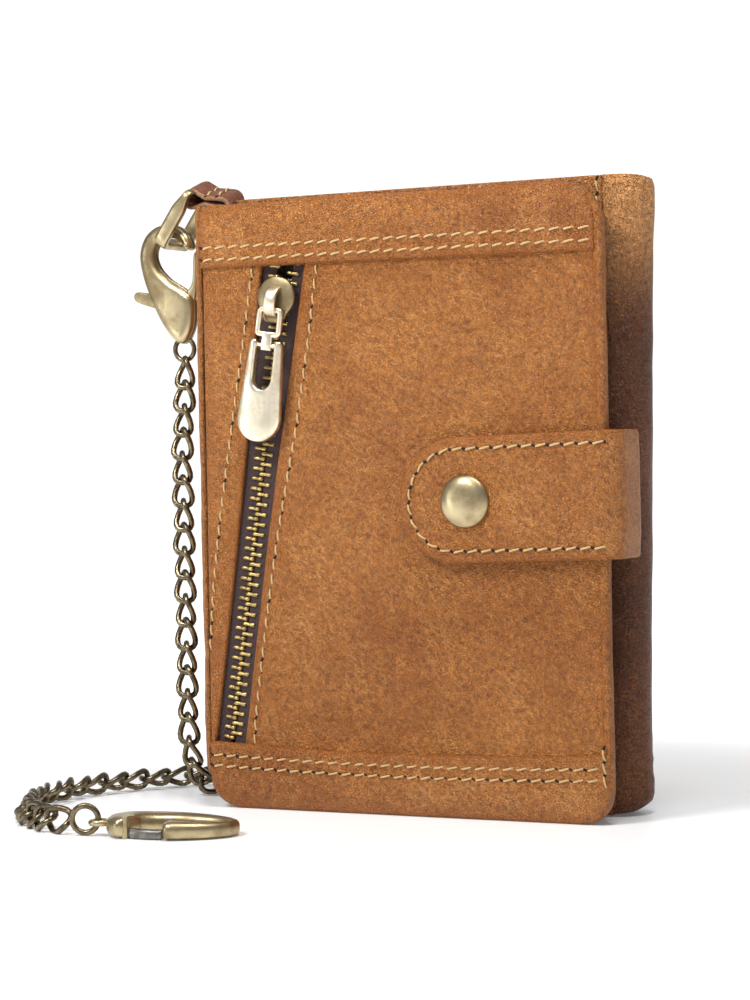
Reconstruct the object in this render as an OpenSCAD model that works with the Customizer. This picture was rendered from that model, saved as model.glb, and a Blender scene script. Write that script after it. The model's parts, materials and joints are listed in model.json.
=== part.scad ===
// Chain wallet: a thick bifold with a zipped coin pocket on its front flap, a snap strap,
// and a curb chain that hangs from a leather loop and ends in a trigger clip.
// +Z up, front flap towards -Y, origin at the bottom centre of the wallet.

/* [Wallet] */
// Width of the front flap
flap_w = 88; // [84:1:96]
// Height of the front flap
flap_h = 120; // [112:1:126]
// Height of the back section
back_h = 122; // [114:1:128]
// Depth of the closed wallet
depth = 24; // [24:1:28]
// Thickness of the outer leather
hide_t = 1.2; // [1:0.1:1.4]
// Depth of the back section
back_d = 12.6; // [12.6:0.2:14]
// How far the rounded spine stands out to the left
spine_w = 6.5; // [5:0.5:7]

/* [Bands] */
// Height of the top and bottom bands
band_h = 13.2; // [10:0.2:16]
// How far the bands stand proud of the pocket panel
band_t = 0.8; // [0.6:0.1:1]

/* [Zip] */
// Distance of the zip's upper end from the flap's left edge
zip_inset = 19.3; // [18:0.1:22]
// Slant of the zip from the vertical
zip_slant = 8.6; // [7:0.1:9]
// Width of the gap in the leather at the zip's upper end
gap_top = 9.6; // [9:0.1:11]
// Width of the gap in the leather at the zip's lower end
gap_bottom = 6.6; // [6.4:0.1:8]
// Distance between two teeth on one side
tooth_pitch = 2; // [1.8:0.1:2.4]

/* [Strap] */
// Width of the strap
strap_w = 24; // [20:1:28]
// Length of the strap on the front of the flap
strap_reach = 43; // [38:1:43]
// Thickness of one leather layer of the strap
strap_t = 1.2; // [1:0.1:1.4]
// Diameter of the snap's cap
cap_d = 10; // [9:0.5:12]

/* [Chain] */
// Width of the chain's links
chain_d = 4.8; // [4:0.2:5.4]
// Length of the far clip
clip_l = 25; // [23:0.5:28]
// Width of the far clip
clip_w = 14.6; // [13:0.2:16]
// Thickness of the far clip
clip_t = 4.2; // [3.6:0.2:5]

/* [Hidden] */

tan_hide = "#b0743c";
dark_hide = "#7a4a34";
cloth = "#5a4638";
brass = "#9a8a62";

half_w = flap_w / 2;
front = -depth / 2;                  // front face of the pocket panel
back = depth / 2;                    // back face of the wallet
panel_back = front + hide_t;         // back face of the pocket panel
base_front = front + 5.4;            // front face of the flap's base leather
lining_front = base_front + hide_t;  // front face of the flap's inner lining
lining_t = 1;
inner_front = back - back_d;         // front face of the back section
edge_r = back_d / 2;                 // radius of the back section's rounded right edge
edge_x = half_w + 1 - edge_r;        // where that rounding starts
small = 0.3;                         // gap between pieces that move past each other
spine_x = -half_w - small;           // where the spine's rounding starts

// Points of an arc in the XZ plane, from angle a0 to a1.
function arc(c, r, a0, a1, n = 8) =
  [for (i = [0:n]) let (a = a0 + (a1 - a0) * i / n) c + r * [cos(a), sin(a)]];

// Outline of a plate from (x0, z0) to (x1, z1) with its own radius at each corner.
function plate(x0, z0, x1, z1, tl, tr, br, bl) = concat(
  arc([x0 + bl, z0 + bl], bl, 180, 270), arc([x1 - br, z0 + br], br, 270, 360),
  arc([x1 - tr, z1 - tr], tr, 0, 90), arc([x0 + tl, z1 - tl], tl, 90, 180));

// Draws an outline given in X and Z between two depths.
module slab(y0, y1) {
  translate([0, y1, 0])
    rotate([90, 0, 0])
      linear_extrude(y1 - y0)
        children();
}

// Outline of the front flap, inset by d.
corner_tl = 2;
corner_tr = 9;
corner_low = 7;
module flap_shape(d = 0, z0 = 0, z1 = flap_h) {
  intersection() {
    polygon(plate(-half_w + d, d, half_w - d, flap_h - d,
                  corner_tl, corner_tr - d, corner_low - d, corner_low - d));
    translate([-flap_w, z0])
      square([2 * flap_w, z1 - z0]);
  }
}

// ---- Back section ----

back_corner = 4;
module back_cover() {
  color(tan_hide)
    slab(back - hide_t, back)
      translate([spine_x + 1, 0])
        square([edge_x - spine_x - 1 - 8, back_h]);
}

// Leather that wraps round the right edge of the back section.
wrap_front = 2;
wrap_back = 8;
module edge_wrap() {
  color(tan_hide)
    difference() {
      translate([edge_x, back - edge_r, 0])
        linear_extrude(back_h - 0.4)
          union() {
            difference() {
              circle(edge_r, $fn = 64);
              circle(edge_r - hide_t, $fn = 64);
              translate([-2 * edge_r, -edge_r])
                square([2 * edge_r, 2 * edge_r]);
            }
            translate([-wrap_front, -edge_r])
              square([wrap_front, hide_t]);
            translate([-wrap_back, edge_r - hide_t])
              square([wrap_back, hide_t]);
          }
      wrap_corner(0);
      wrap_corner(1);
    }
}

// Wedge that takes off the wrapped edge's sharp lower (0) or upper (1) corner.
module wrap_corner(top) {
  translate([edge_x + edge_r, 0, top * (back_h - 0.4)])
    rotate([0, 45, 0])
      cube([back_corner, 4 * depth, back_corner], center = true);
}

module inner_panel() {
  color(tan_hide)
    slab(inner_front, inner_front + hide_t)
      difference() {
        translate([spine_x + 1, 0])
          square([edge_x - wrap_front - spine_x - 1, back_h]);
        translate([-flap_w, bight[1] - bight_r - loop_leg - small])
          square([flap_w + loop_root + small, back_h]);
      }
}

// Leather turned in at the bottom, which closes the back section.
module bottom_fold() {
  color(tan_hide)
    slab(inner_front + hide_t, back - hide_t)
      translate([spine_x + 1, 0])
        square([edge_x - wrap_back - spine_x - 1, hide_t]);
}

divider_y = inner_front + 4.6;
divider_t = 1;
module bill_divider() {
  color(cloth)
    slab(divider_y, divider_y + divider_t)
      translate([spine_x + 1, hide_t])
        square([edge_x - spine_x - 2, back_h - 6]);
}

// Three stepped card pockets on the inner face, the first one highest.
slot_t = 0.6;
slot_w = 66;
slot_step = 14;
slot_top = 104;
module card_slot(i) {
  color(tan_hide)
    slab(inner_front - (i + 1) * slot_t, inner_front - i * slot_t)
      polygon(plate(spine_x + 4, 4, spine_x + 4 + slot_w, slot_top - i * slot_step, 1, 1, 1, 1));
}
module card_slot_1() card_slot(0);
module card_slot_2() card_slot(1);
module card_slot_3() card_slot(2);

// Rounded spine on the left, half an ellipse seen from above.
spine_front = panel_back + 0.2;
spine_mid = (spine_front + back) / 2;
spine_half = (back - spine_front) / 2;
function half_oval(a, b, a0, a1, n = 24) =
  [for (i = [0:n]) let (t = a0 + (a1 - a0) * i / n) [a * cos(t), b * sin(t)]];
module spine() {
  color(tan_hide)
    translate([spine_x, spine_mid, 0.2])
      linear_extrude(flap_h + 0.3)
        union() {
          polygon(concat(half_oval(spine_w, spine_half, 90, 270),
                         half_oval(spine_w - hide_t, spine_half - hide_t, 270, 90)));
          translate([0, spine_half - hide_t])
            square([1, hide_t]);
        }
}

// Leather loop at the top left that holds the ring: two layers that meet in a bight.
loop_w = 6;
loop_t = 1.2;
bight = [-50.4, 123.3];
bight_r = 2.4;
loop_root = -39.6;     // right side of the leg that is sewn inside the wallet
loop_leg = 8;
module hang_loop() {
  color(dark_hide)
    slab(-loop_w / 2, loop_w / 2)
      difference() {
        union() {
          translate(bight)
            circle(bight_r, $fn = 48);
          translate([bight[0], bight[1] - bight_r])
            square([loop_root - bight[0], 2 * bight_r]);
          translate([loop_root - 3, bight[1] - bight_r - loop_leg])
            square([3, loop_leg + bight_r]);
          translate([loop_root - bight_r, bight[1]])
            square([bight_r, bight_r]);
        }
        translate(bight)
          circle(bight_r - loop_t, $fn = 48);
        translate([bight[0], bight[1] - bight_r + loop_t])
          square([loop_root - 3 - bight[0], 2 * (bight_r - loop_t)]);
      }
}

// ---- Strap ----

strap_z = 60.5;
strap_gap = 0.2;
strap_front = front - strap_gap - 2 * strap_t;   // outer face of the strap on the flap
strap_back = inner_front - 0.4;                  // outer face of the tab in the crevice
limb_x = half_w + 4;                             // outermost face of the strap's bend
bend_r = 4;
strap_two = 2 * strap_t;
tab_x = 31;
fold_y = -6.5;

// Strip of strap seen from above, swept over the strap's width.
module strap_run() {
  translate([0, 0, strap_z - strap_w / 2])
    linear_extrude(strap_w)
      children();
}

// One quarter of a bend: outer radius r, thickness t, from angle a0 to a1.
module quarter(c, r, t, a0, a1) {
  polygon(concat(arc(c, r, a0, a1), arc(c, r - t, a1, a0)));
}

module strap_tab() {
  color(tan_hide)
    strap_run()
      translate([tab_x, strap_back - strap_two])
        square([limb_x - bend_r - tab_x, strap_two]);
}

module strap_bend() {
  color(tan_hide)
    strap_run()
      union() {
        quarter([limb_x - bend_r, strap_back - bend_r], bend_r, strap_two, 0, 90);
        translate([limb_x - strap_two, strap_front + bend_r])
          square([strap_two, strap_back - strap_front - 2 * bend_r]);
      }
}

strap_end = half_w - strap_reach + 0.2;
snap_x = 15.5;
module strap_shape(d = 0) {
  r = strap_w / 2 - d;
  translate([strap_end + strap_w / 2, strap_z])
    circle(r, $fn = 72);
  translate([strap_end + strap_w / 2, strap_z - r])
    square([limb_x - bend_r - strap_end - strap_w / 2, 2 * r]);
}

module strap_outer() {
  color(tan_hide) {
    slab(strap_front, strap_front + strap_t)
      difference() {
        strap_shape();
        translate([snap_x, strap_z])
          circle(1.4, $fn = 32);
      }
    strap_run()
      quarter([limb_x - bend_r, strap_front + bend_r], bend_r, strap_t, 270, 360);
  }
}

module strap_lining() {
  color(dark_hide) {
    slab(strap_front + strap_t, strap_front + strap_two)
      difference() {
        strap_shape(0);
        translate([snap_x, strap_z])
          circle(4.3, $fn = 48);
      }
    strap_run()
      quarter([limb_x - bend_r, strap_front + bend_r], bend_r - strap_t, strap_t, 270, 360);
  }
}

// Draws a piece that is round about the snap's axis: its +Z points out of the flap.
module on_snap(y) {
  translate([snap_x, y, strap_z])
    rotate([90, 0, 0])
      children();
}

module snap_cap() {
  color(brass)
    on_snap(strap_front) {
      intersection() {
        cylinder(d = cap_d, h = 2, $fn = 64);
        translate([0, 0, 2 - 13])
          sphere(13, $fn = 96);
      }
      translate([0, 0, -strap_t])
        cylinder(r = 1.3, h = strap_t + 0.5, $fn = 32);
    }
}

module snap_socket() {
  color(brass)
    on_snap(strap_front + strap_two - 0.1)
      difference() {
        cylinder(r = 4.2, h = strap_t - 0.1, $fn = 48);
        translate([0, 0, -1])
          cylinder(r = 2.2, h = 3, $fn = 32);
      }
}

module snap_stud() {
  color(brass)
    on_snap(panel_back) {
      translate([0, 0, -0.5])
        cylinder(r = 3.5, h = 0.5, $fn = 48);
      cylinder(r = 1.4, h = hide_t, $fn = 32);
      translate([0, 0, hide_t])
        cylinder(r = 1.9, h = 0.9, $fn = 32);
    }
}

// ---- Front flap ----

// Zip frame: local Z runs up the zip from its upper end, local X across it.
zip_x = -half_w + zip_inset;
zip_z = flap_h - band_h;
zip_len = (zip_z - band_h) / cos(zip_slant);
module on_zip() {
  translate([zip_x, 0, zip_z])
    rotate([0, zip_slant, 0])
      children();
}

// Area of the gap over the zip, in the flap's plane.
module zip_gap() {
  translate([zip_x, zip_z])
    rotate(-zip_slant)
      polygon([[-gap_top / 2, 12], [gap_top / 2, 12], [gap_top / 2, 0],
               [gap_bottom / 2, -zip_len - 12], [-gap_bottom / 2, -zip_len - 12],
               [-gap_top / 2, 0]]);
}

// Everything to the right (side = 1) or left (side = -1) of the zip's middle line.
module zip_side(side) {
  translate([zip_x, zip_z])
    rotate(-zip_slant)
      translate([side > 0 ? 0 : -2 * flap_w, -2 * flap_h])
        square([2 * flap_w, 3 * flap_h]);
}

edge_inset = 1.4;
module panel_shape(side, z0 = 0.8) {
  difference() {
    intersection() {
      flap_shape(0.8, z0, flap_h);
      translate([-flap_w, 0])
        square([flap_w + half_w - edge_inset, flap_h]);
      zip_side(side);
    }
    zip_gap();
    translate([snap_x, strap_z])
      circle(1.5, $fn = 32);
  }
}

module pocket_panel() {
  color(tan_hide)
    slab(front, panel_back)
      panel_shape(1);
}

module pocket_strip() {
  color(tan_hide)
    slab(front, panel_back)
      panel_shape(-1, band_h - 4);
}

module top_band() {
  color(tan_hide) {
    slab(front - band_t, front)
      flap_shape(0, flap_h - band_h, flap_h);
    slab(front, base_front - small)
      difference() {
        flap_shape(0, flap_h - band_h, flap_h);
        flap_shape(0.8);
      }
  }
}

module bottom_band() {
  color(tan_hide) {
    slab(front - band_t, front)
      flap_shape(0, 0, band_h);
    slab(front, base_front - small)
      difference() {
        flap_shape(0, 0, band_h);
        flap_shape(0.8);
      }
  }
}

// Rim that joins the pocket panel to the flap's base round the right side.
gusset_w = 2.4;
module flap_gusset() {
  color(tan_hide)
    slab(panel_back, base_front)
      difference() {
        flap_shape(0.9);
        flap_shape(0.9 + gusset_w);
        translate([-flap_w - 30, -1])
          square([flap_w, flap_h + 2]);
      }
}

// Cloth pouch of the coin pocket, an open tray behind the zip.
pouch_t = 0.6;
pouch_front = panel_back + 0.8;
module coin_lining() {
  color(cloth)
    difference() {
      slab(pouch_front, base_front)
        pouch_shape(0);
      slab(pouch_front - 1, base_front - pouch_t)
        pouch_shape(pouch_t);
    }
}
module pouch_shape(d) {
  polygon(plate(-half_w + 1 + d, 4 + d, half_w - 4 - d, flap_h - 4 - d, 2, 8, 8, 2));
}

module flap_base() {
  color(tan_hide)
    slab(base_front, lining_front)
      flap_shape();
}

module flap_lining() {
  color(dark_hide)
    slab(lining_front, lining_front + lining_t)
      flap_shape(1);
}

// Frame of the identity window inside the flap, and its clear film.
id_x0 = -30;
id_x1 = 30;
id_z0 = 12;
id_z1 = 102;
id_rim = 7;
id_t = 0.8;
id_y = lining_front + lining_t;
module id_frame() {
  color(tan_hide)
    slab(id_y, id_y + id_t)
      difference() {
        polygon(plate(id_x0, id_z0, id_x1, id_z1, 2, 2, 2, 2));
        polygon(plate(id_x0 + id_rim, id_z0 + id_rim, id_x1 - id_rim, id_z1 - id_rim, 2, 2, 2, 2));
      }
}
module id_film() {
  color("lightgray", 0.5)
    slab(id_y, id_y + 0.3)
      polygon(plate(id_x0 + id_rim + 0.1, id_z0 + id_rim + 0.1,
                    id_x1 - id_rim - 0.1, id_z1 - id_rim - 0.1, 2, 2, 2, 2));
}

// ---- Zip ----

tape_y = panel_back + 0.1;
tape_t = 0.5;
tape_w = 7;
spread_from = -9;      // above this local height the two rows part
spread = 1.3;          // how far each row has moved out at the upper end
tooth_w = 2.4;
tooth_mesh = 0.4;      // how far a tooth reaches past the middle line
tooth_h = 0.95;
tooth_t = 2.3;
teeth_y = tape_y + tape_t / 2 - tooth_t / 2;

// Sideways shift of a row at local height z.
function part(z) = z > spread_from ? spread * min(1, (z - spread_from) / 6) : 0;

tape_in = tooth_w - tooth_mesh + 0.15;   // inner edge of a tape, where its teeth grip it
module zip_tape(side) {
  color(cloth)
    slab(tape_y, tape_y + tape_t)
      intersection() {
        flap_shape(1);
        translate([zip_x, zip_z])
          rotate(-zip_slant)
            polygon([[side * tape_in, -zip_len - 4], [side * tape_w, -zip_len - 4],
                     [side * tape_w, 2], [side * (spread + tape_in), 2],
                     [side * (spread + tape_in), spread_from + 6], [side * tape_in, spread_from]]);
      }
}
module zip_tape_left() zip_tape(-1);
module zip_tape_right() zip_tape(1);

// Draws an outline in the zip's own plane between two depths.
module slab_on_zip(y0, y1) {
  on_zip()
    translate([0, y1, 0])
      rotate([90, 0, 0])
        linear_extrude(y1 - y0)
          children();
}

teeth = floor((zip_len + 2) / tooth_pitch);
module zip_teeth(side) {
  color(brass)
    on_zip()
      for (i = [0:teeth - 1]) {
        z = 1 - (i + (side > 0 ? 0 : 0.5)) * tooth_pitch;
        x = part(z);
        translate([side > 0 ? x - tooth_mesh : -x - tooth_w + tooth_mesh, teeth_y, z - tooth_h / 2])
          cube([tooth_w, tooth_t, tooth_h]);
      }
}
module zip_teeth_left() zip_teeth(-1);
module zip_teeth_right() zip_teeth(1);

module zip_bottom_stop() {
  color(brass)
    on_zip()
      translate([-tape_in + 0.1, teeth_y, -zip_len - 3.6])
        cube([2 * tape_in - 0.2, tooth_t, 2]);
}

// Slider: two plates joined by a wedge between the parted rows.
slider_z = -6.6;       // middle of the slider at rest
slider_l = 9;
plate_front = front - 1.3;
plate_t = 0.9;
lower_y = teeth_y + tooth_t + 0.2;
lower_t = 0.6;
slider_low = slider_z - slider_l / 2;
slider_high = slider_z + slider_l / 2;
module slider_body() {
  color(brass) {
    slab_on_zip(plate_front, plate_front + plate_t)
      hull() {
        translate([-2.3, slider_high - 2])
          circle(1.9, $fn = 32);
        translate([2.3, slider_high - 2])
          circle(1.9, $fn = 32);
        translate([0, slider_low + 2.8])
          circle(2.8, $fn = 32);
      }
    slab_on_zip(lower_y, lower_y + lower_t)
      polygon([[-2.9, slider_low], [2.9, slider_low], [3.1, slider_high], [-3.1, slider_high]]);
    slab_on_zip(plate_front + plate_t, lower_y)
      polygon([[0, slider_high - 3], [0.7, slider_high - 0.8], [0, slider_high - 0.1],
               [-0.7, slider_high - 0.8]]);
  }
}

// Arch over the slider that the pull hangs from.
bridge_w = 1.8;
bridge_h = 2.6;
bridge_t = 0.8;
bridge_l = 6.4;
bridge_z = slider_z - 0.4;
module slider_bridge() {
  color(brass)
    on_zip()
      translate([-bridge_w / 2, plate_front - bridge_h, bridge_z - bridge_l / 2])
        difference() {
          cube([bridge_w, bridge_h, bridge_l]);
          translate([-1, bridge_t, bridge_t])
            cube([bridge_w + 2, bridge_h - bridge_t + 1, bridge_l - 2 * bridge_t]);
        }
}

// Link of the pull: a bar under the arch, two arms, a cross plate, a stem and a cross pin.
link_bar_r = 0.5;
link_bar_z = bridge_z - bridge_l / 2 + bridge_t + link_bar_r + 0.15;
link_y = plate_front - 1.1;
link_t = 1;
arm_x = 1.5;
link_w = 2.9;
link_low = link_bar_z - 5.2;
tab_pin_z = link_low - 1.6;
tab_pin_r = 0.5;
module pull_link() {
  color(brass) {
    on_zip()
      translate([-link_w, link_y, link_bar_z])
        rotate([0, 90, 0])
          cylinder(r = link_bar_r, h = 2 * link_w, $fn = 24);
    slab_on_zip(link_y - link_t / 2, link_y + link_t / 2)
      union() {
        for (s = [-1, 1])
          translate([s > 0 ? arm_x : -link_w, link_low])
            square([link_w - arm_x, link_bar_z - link_low]);
        translate([-link_w, link_low])
          square([2 * link_w, 1.4]);
        translate([-1.2, tab_pin_z])
          square([2.4, link_low - tab_pin_z + 0.2]);
      }
    on_zip()
      translate([-3.7, link_y, tab_pin_z])
        rotate([0, 90, 0])
          cylinder(r = tab_pin_r, h = 7.4, $fn = 24);
  }
}

// Pull tab: a teardrop with two prongs that turn on the link's cross pin.
tab_w = 9.8;
tab_l = 20;
tab_t = 1.5;
tab_slot_w = 4.6;
tab_slot_l = 9.6;
tab_top = tab_pin_z + 1;
module pull_tab() {
  color(brass)
    difference() {
      slab_on_zip(link_y - tab_t / 2, link_y + tab_t / 2)
        difference() {
          hull() {
            translate([-3.6, tab_top - 0.8])
              circle(0.8, $fn = 24);
            translate([3.6, tab_top - 0.8])
              circle(0.8, $fn = 24);
            translate([0, tab_top - tab_l + tab_w / 2])
              circle(tab_w / 2, $fn = 48);
          }
          translate([-tab_slot_w / 2, tab_top - tab_slot_l + tab_slot_w / 2])
            square([tab_slot_w, tab_slot_l]);
          translate([0, tab_top - tab_slot_l + tab_slot_w / 2])
            circle(tab_slot_w / 2, $fn = 32);
        }
      on_zip()
        translate([-10, link_y, tab_pin_z])
          rotate([0, 90, 0])
            cylinder(r = tab_pin_r + 0.06, h = 20, $fn = 24);
    }
}

// ---- Ring and lobster clasp ----

ring_dir = 54.5;       // slope of the hanging ring below the horizontal
ring_l = 11.9;         // from the bight to the ring's lower bar
ring_y = 4.2;          // half of the distance between the ring's side bars
ring_bar = 1.8;
module loop_ring() {
  color(brass)
    translate([bight[0], 0, bight[1]])
      rotate([0, 180 - ring_dir, 0])
        rotate([0, 180, 180]) {
          for (x = [0, ring_l])
            translate([x, ring_y + ring_bar / 2, 0])
              rotate([90, 0, 0])
                cylinder(d = ring_bar, h = 2 * ring_y + ring_bar, $fn = 32);
          for (s = [-1, 1])
            translate([0, s * ring_y - ring_bar / 2, -ring_bar / 2])
              cube([ring_l, ring_bar, ring_bar]);
        }
}

clasp_y = -1.4;
clasp_t = 3.4;
lever_t = 1.3;
lever_at = [-55.4, 101];
clasp_outline = [
  [-53, 93.2], [-55.2, 93.4], [-58.4, 97.2], [-61.4, 102.6], [-63.3, 107.6], [-63.8, 111.6],
  [-62.7, 114.9], [-60.2, 117], [-57, 117.6], [-54, 116.9], [-51.9, 115], [-51.1, 112.6],
  [-52.9, 112.2], [-54.3, 114.2], [-57, 114.9], [-59.3, 113.8], [-60.2, 111.4], [-59.2, 108.8],
  [-56.4, 106.4], [-53.4, 104.6], [-51.1, 103.4], [-51, 100], [-51.4, 96.6]
];
module clasp_body() {
  color(brass)
    difference() {
      slab(clasp_y - clasp_t / 2, clasp_y + clasp_t / 2)
        polygon(clasp_outline);
      slab(clasp_y - lever_t / 2 - 0.2, clasp_y + lever_t / 2 + 0.2)
        polygon([[-66, 107], [-66, 95], [-57, 97.6], [-50, 98.6], [-50, 108], [-57.6, 108],
                 [-57.6, 104.2]]);
      translate([lever_at[0], clasp_y, lever_at[1]])
        rotate([90, 0, 0])
          cylinder(r = 0.6, h = 10, center = true, $fn = 32);
      translate(jump_at)
        rotate([90, 0, 0])
          wire_ring(jump_r, jump_wire + 0.4);
    }
}

module clasp_pin() {
  color(brass)
    translate([lever_at[0], clasp_y, lever_at[1]])
      rotate([90, 0, 0])
        cylinder(r = 0.6, h = clasp_t, center = true, $fn = 32);
}

// Lever: the gate on the right, a boss on the pin, and the thumb piece on the left.
module clasp_lever() {
  color(brass)
    slab(clasp_y - lever_t / 2, clasp_y + lever_t / 2)
      difference() {
        union() {
          polygon([[-51.3, 111.4], [-52.8, 111.4], [-53.2, 104], [-54.6, 102.8], [-56.6, 102.6],
                   [-61, 102.6], [-64.6, 103.4], [-65.2, 101.6], [-61.4, 100.4], [-56.4, 99.4],
                   [-53.2, 99.8], [-51.3, 102.4]]);
          translate(lever_at)
            circle(1.6, $fn = 32);
        }
        translate(lever_at)
          circle(0.65, $fn = 32);
      }
}

// Small coil that shuts the gate, kept beside the lever inside the clasp.
module clasp_spring() {
  color(brass)
    translate([-54, clasp_y, 98.8])
      rotate([0, 90, 0])
        difference() {
          cylinder(r = 0.4, h = 2, center = true, $fn = 24);
          cylinder(r = 0.2, h = 3, center = true, $fn = 24);
        }
}

// Ring of round wire, lying in the XY plane.
module wire_ring(r, wire) {
  rotate_extrude($fn = 64)
    translate([r, 0])
      circle(d = wire, $fn = 24);
}

jump_r = 2.1;
jump_wire = 1;
jump_at = [-53.8, clasp_y, 92.5];
module jump_ring() {
  color(brass)
    translate(jump_at)
      rotate([90, 0, 0])
        wire_ring(jump_r, jump_wire);
}

// ---- Chain and far clip ----

// The chain's middle line. It hangs from the clasp and goes round behind the wallet's corner.
// From the link at chain_turn it lies on the floor in a wide curve, up to the clip.
chain_turn = [-55, 17, 2.4];
chain_route = [
  [-53.8, -1.4, 89.8], [-53.8, -2.2, 80], [-54, -3, 70], [-54, -3, 60], [-54, -3, 50], [-54, -3, 40],
  [-54, -3, 30], [-54, -3, 20], [-54, -2.6, 12], [-53.8, -0.6, 6], [-53.6, 3, 3], [-53.2, 8, 2.4],
  [-53.4, 13, 2.4], chain_turn, [-59, 18, 2.4], [-64, 15, 2.4], [-69, 9, 2.4], [-73, 2, 2.4], [-76, -6, 2.4],
  [-77, -14, 2.4], [-76, -23, 2.4], [-73, -32, 2.4], [-68, -41, 2.4], [-62, -48, 2.4],
  [-55, -53, 2.4], [-48.6, -55, 2.4]
];
last = len(chain_route) - 1;
turn_at = search([chain_turn], chain_route)[0];
chain_sides = 8;
function unit(v) = v / norm(v);
function dir(i) = unit(chain_route[min(i + 1, last)] - chain_route[max(i - 1, 0)]);
function side_of(i) = unit(cross(dir(i), [0.5, 0, 0.85]));
function ring_points(i) =
  let (s = side_of(i), u = cross(dir(i), s))
    [for (k = [0:chain_sides - 1])
      let (a = 360 * (k + 0.5) / chain_sides)
        chain_route[i] + chain_d / 2 * (cos(a) * s + sin(a) * u)];
function side_faces(a, b) =
  [for (k = [0:chain_sides - 1], half = [0, 1])
    let (n = (k + 1) % chain_sides)
      half == 0 ? [a + n, a + k, b + k] : [a + n, b + k, b + n]];

// Plain tube as wide as the links, along the route from one point to another.
module chain_tube(first, stop) {
  end = stop - first;
  polyhedron(
    [for (i = [first:stop]) each ring_points(i)],
    concat(
      [[for (k = [0:chain_sides - 1]) k]],
      [[for (k = [chain_sides - 1:-1:0]) end * chain_sides + k]],
      [for (i = [0:end - 1]) each side_faces(i * chain_sides, (i + 1) * chain_sides)]));
}
module chain_upper() {
  color(brass)
    chain_tube(0, turn_at);
}
module chain_lower() {
  color(brass)
    chain_tube(turn_at, last);
}

clip_at = [-28.6, -50];
clip_turn = 20;
module on_clip() {
  translate([clip_at[0], clip_at[1], 0])
    rotate([0, 0, clip_turn])
      children();
}

// Ring that joins the chain to the clip, standing on edge.
module end_ring() {
  color(brass)
    on_clip()
      translate([-clip_l / 2 - 4.2, 0, 3.1])
        rotate([90, 0, 0])
          wire_ring(2.5, 1.1);
}

// An oval of length l and width w: an ellipse outline worked out from its axes.
function oval(l, w, n = 48) =
  [for (i = [0:n - 1]) [l / 2 * cos(360 * i / n), w / 2 * sin(360 * i / n)]];

gate_pin_at = [-clip_l / 2 + 4.3, -4.2];
nose_x = -0.3;
module clip_body() {
  color(brass)
    on_clip()
      difference() {
        union() {
          linear_extrude(clip_t)
            polygon(oval(clip_l, clip_w));
          translate([-clip_l / 2 - 1.3, 0, 2.2])
            cylinder(r = 1.9, h = 1.4, $fn = 32);
        }
        translate([1.7, 0.2, -1])
          linear_extrude(clip_t + 2)
            polygon(oval(clip_l * 0.66, clip_w - 6));
        translate([-clip_l / 2 - 1.7, 0, -1])
          cylinder(r = 0.8, h = clip_t + 2, $fn = 24);
        translate([0, 0, 0.9])
          linear_extrude(clip_t - 1.8)
            polygon([[-clip_l / 2 + 2.2, 0.6], [-clip_l / 2 + 2.2, -clip_w], [nose_x, -clip_w],
                     [nose_x, 0.6]]);
        translate([0, 0, -1])
          linear_extrude(clip_t + 2)
            polygon([[-5.2, -clip_w], [nose_x, -clip_w], [nose_x, -2], [-5.2, -2]]);
        translate([gate_pin_at[0], gate_pin_at[1], -1])
          cylinder(r = 0.6, h = clip_t + 2, $fn = 24);
      }
}

module clip_pin() {
  color(brass)
    on_clip()
      translate([gate_pin_at[0], gate_pin_at[1], 0.1])
        cylinder(r = 0.6, h = clip_t - 0.2, $fn = 24);
}

// Sprung gate of the clip: a boss on its pin and a bar that ends at the nose of the oval.
gate_t = clip_t - 2.4;
module clip_gate() {
  color(brass)
    on_clip()
      translate([0, 0, 1.2])
        linear_extrude(gate_t)
          difference() {
            union() {
              translate(gate_pin_at)
                circle(1.4, $fn = 32);
              polygon([[gate_pin_at[0], gate_pin_at[1] - 1.4], [-5, -6.4], [-1, -6.9],
                       [-1, -4.6], [-4.6, -4.2], [gate_pin_at[0], gate_pin_at[1] + 1.3]]);
            }
            translate(gate_pin_at)
              circle(0.65, $fn = 32);
          }
}

back_cover();
edge_wrap();
inner_panel();
bottom_fold();
bill_divider();
card_slot_1();
card_slot_2();
card_slot_3();
spine();
hang_loop();
strap_tab();
strap_bend();
pocket_panel();
pocket_strip();
top_band();
bottom_band();
flap_gusset();
coin_lining();
flap_base();
flap_lining();
id_frame();
id_film();
zip_tape_left();
zip_tape_right();
zip_teeth_left();
zip_teeth_right();
zip_bottom_stop();
snap_stud();
strap_outer();
strap_lining();
snap_cap();
snap_socket();
slider_body();
slider_bridge();
pull_link();
pull_tab();
loop_ring();
clasp_body();
clasp_pin();
clasp_spring();
clasp_lever();
jump_ring();
chain_upper();
chain_lower();
end_ring();
clip_body();
clip_pin();
clip_gate();
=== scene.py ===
"""Chain wallet: leather, stitches, zip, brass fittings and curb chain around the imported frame.

Lengths are in millimetres in this script, and mesh_object() turns them into metres.
"""
import json
import math

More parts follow.
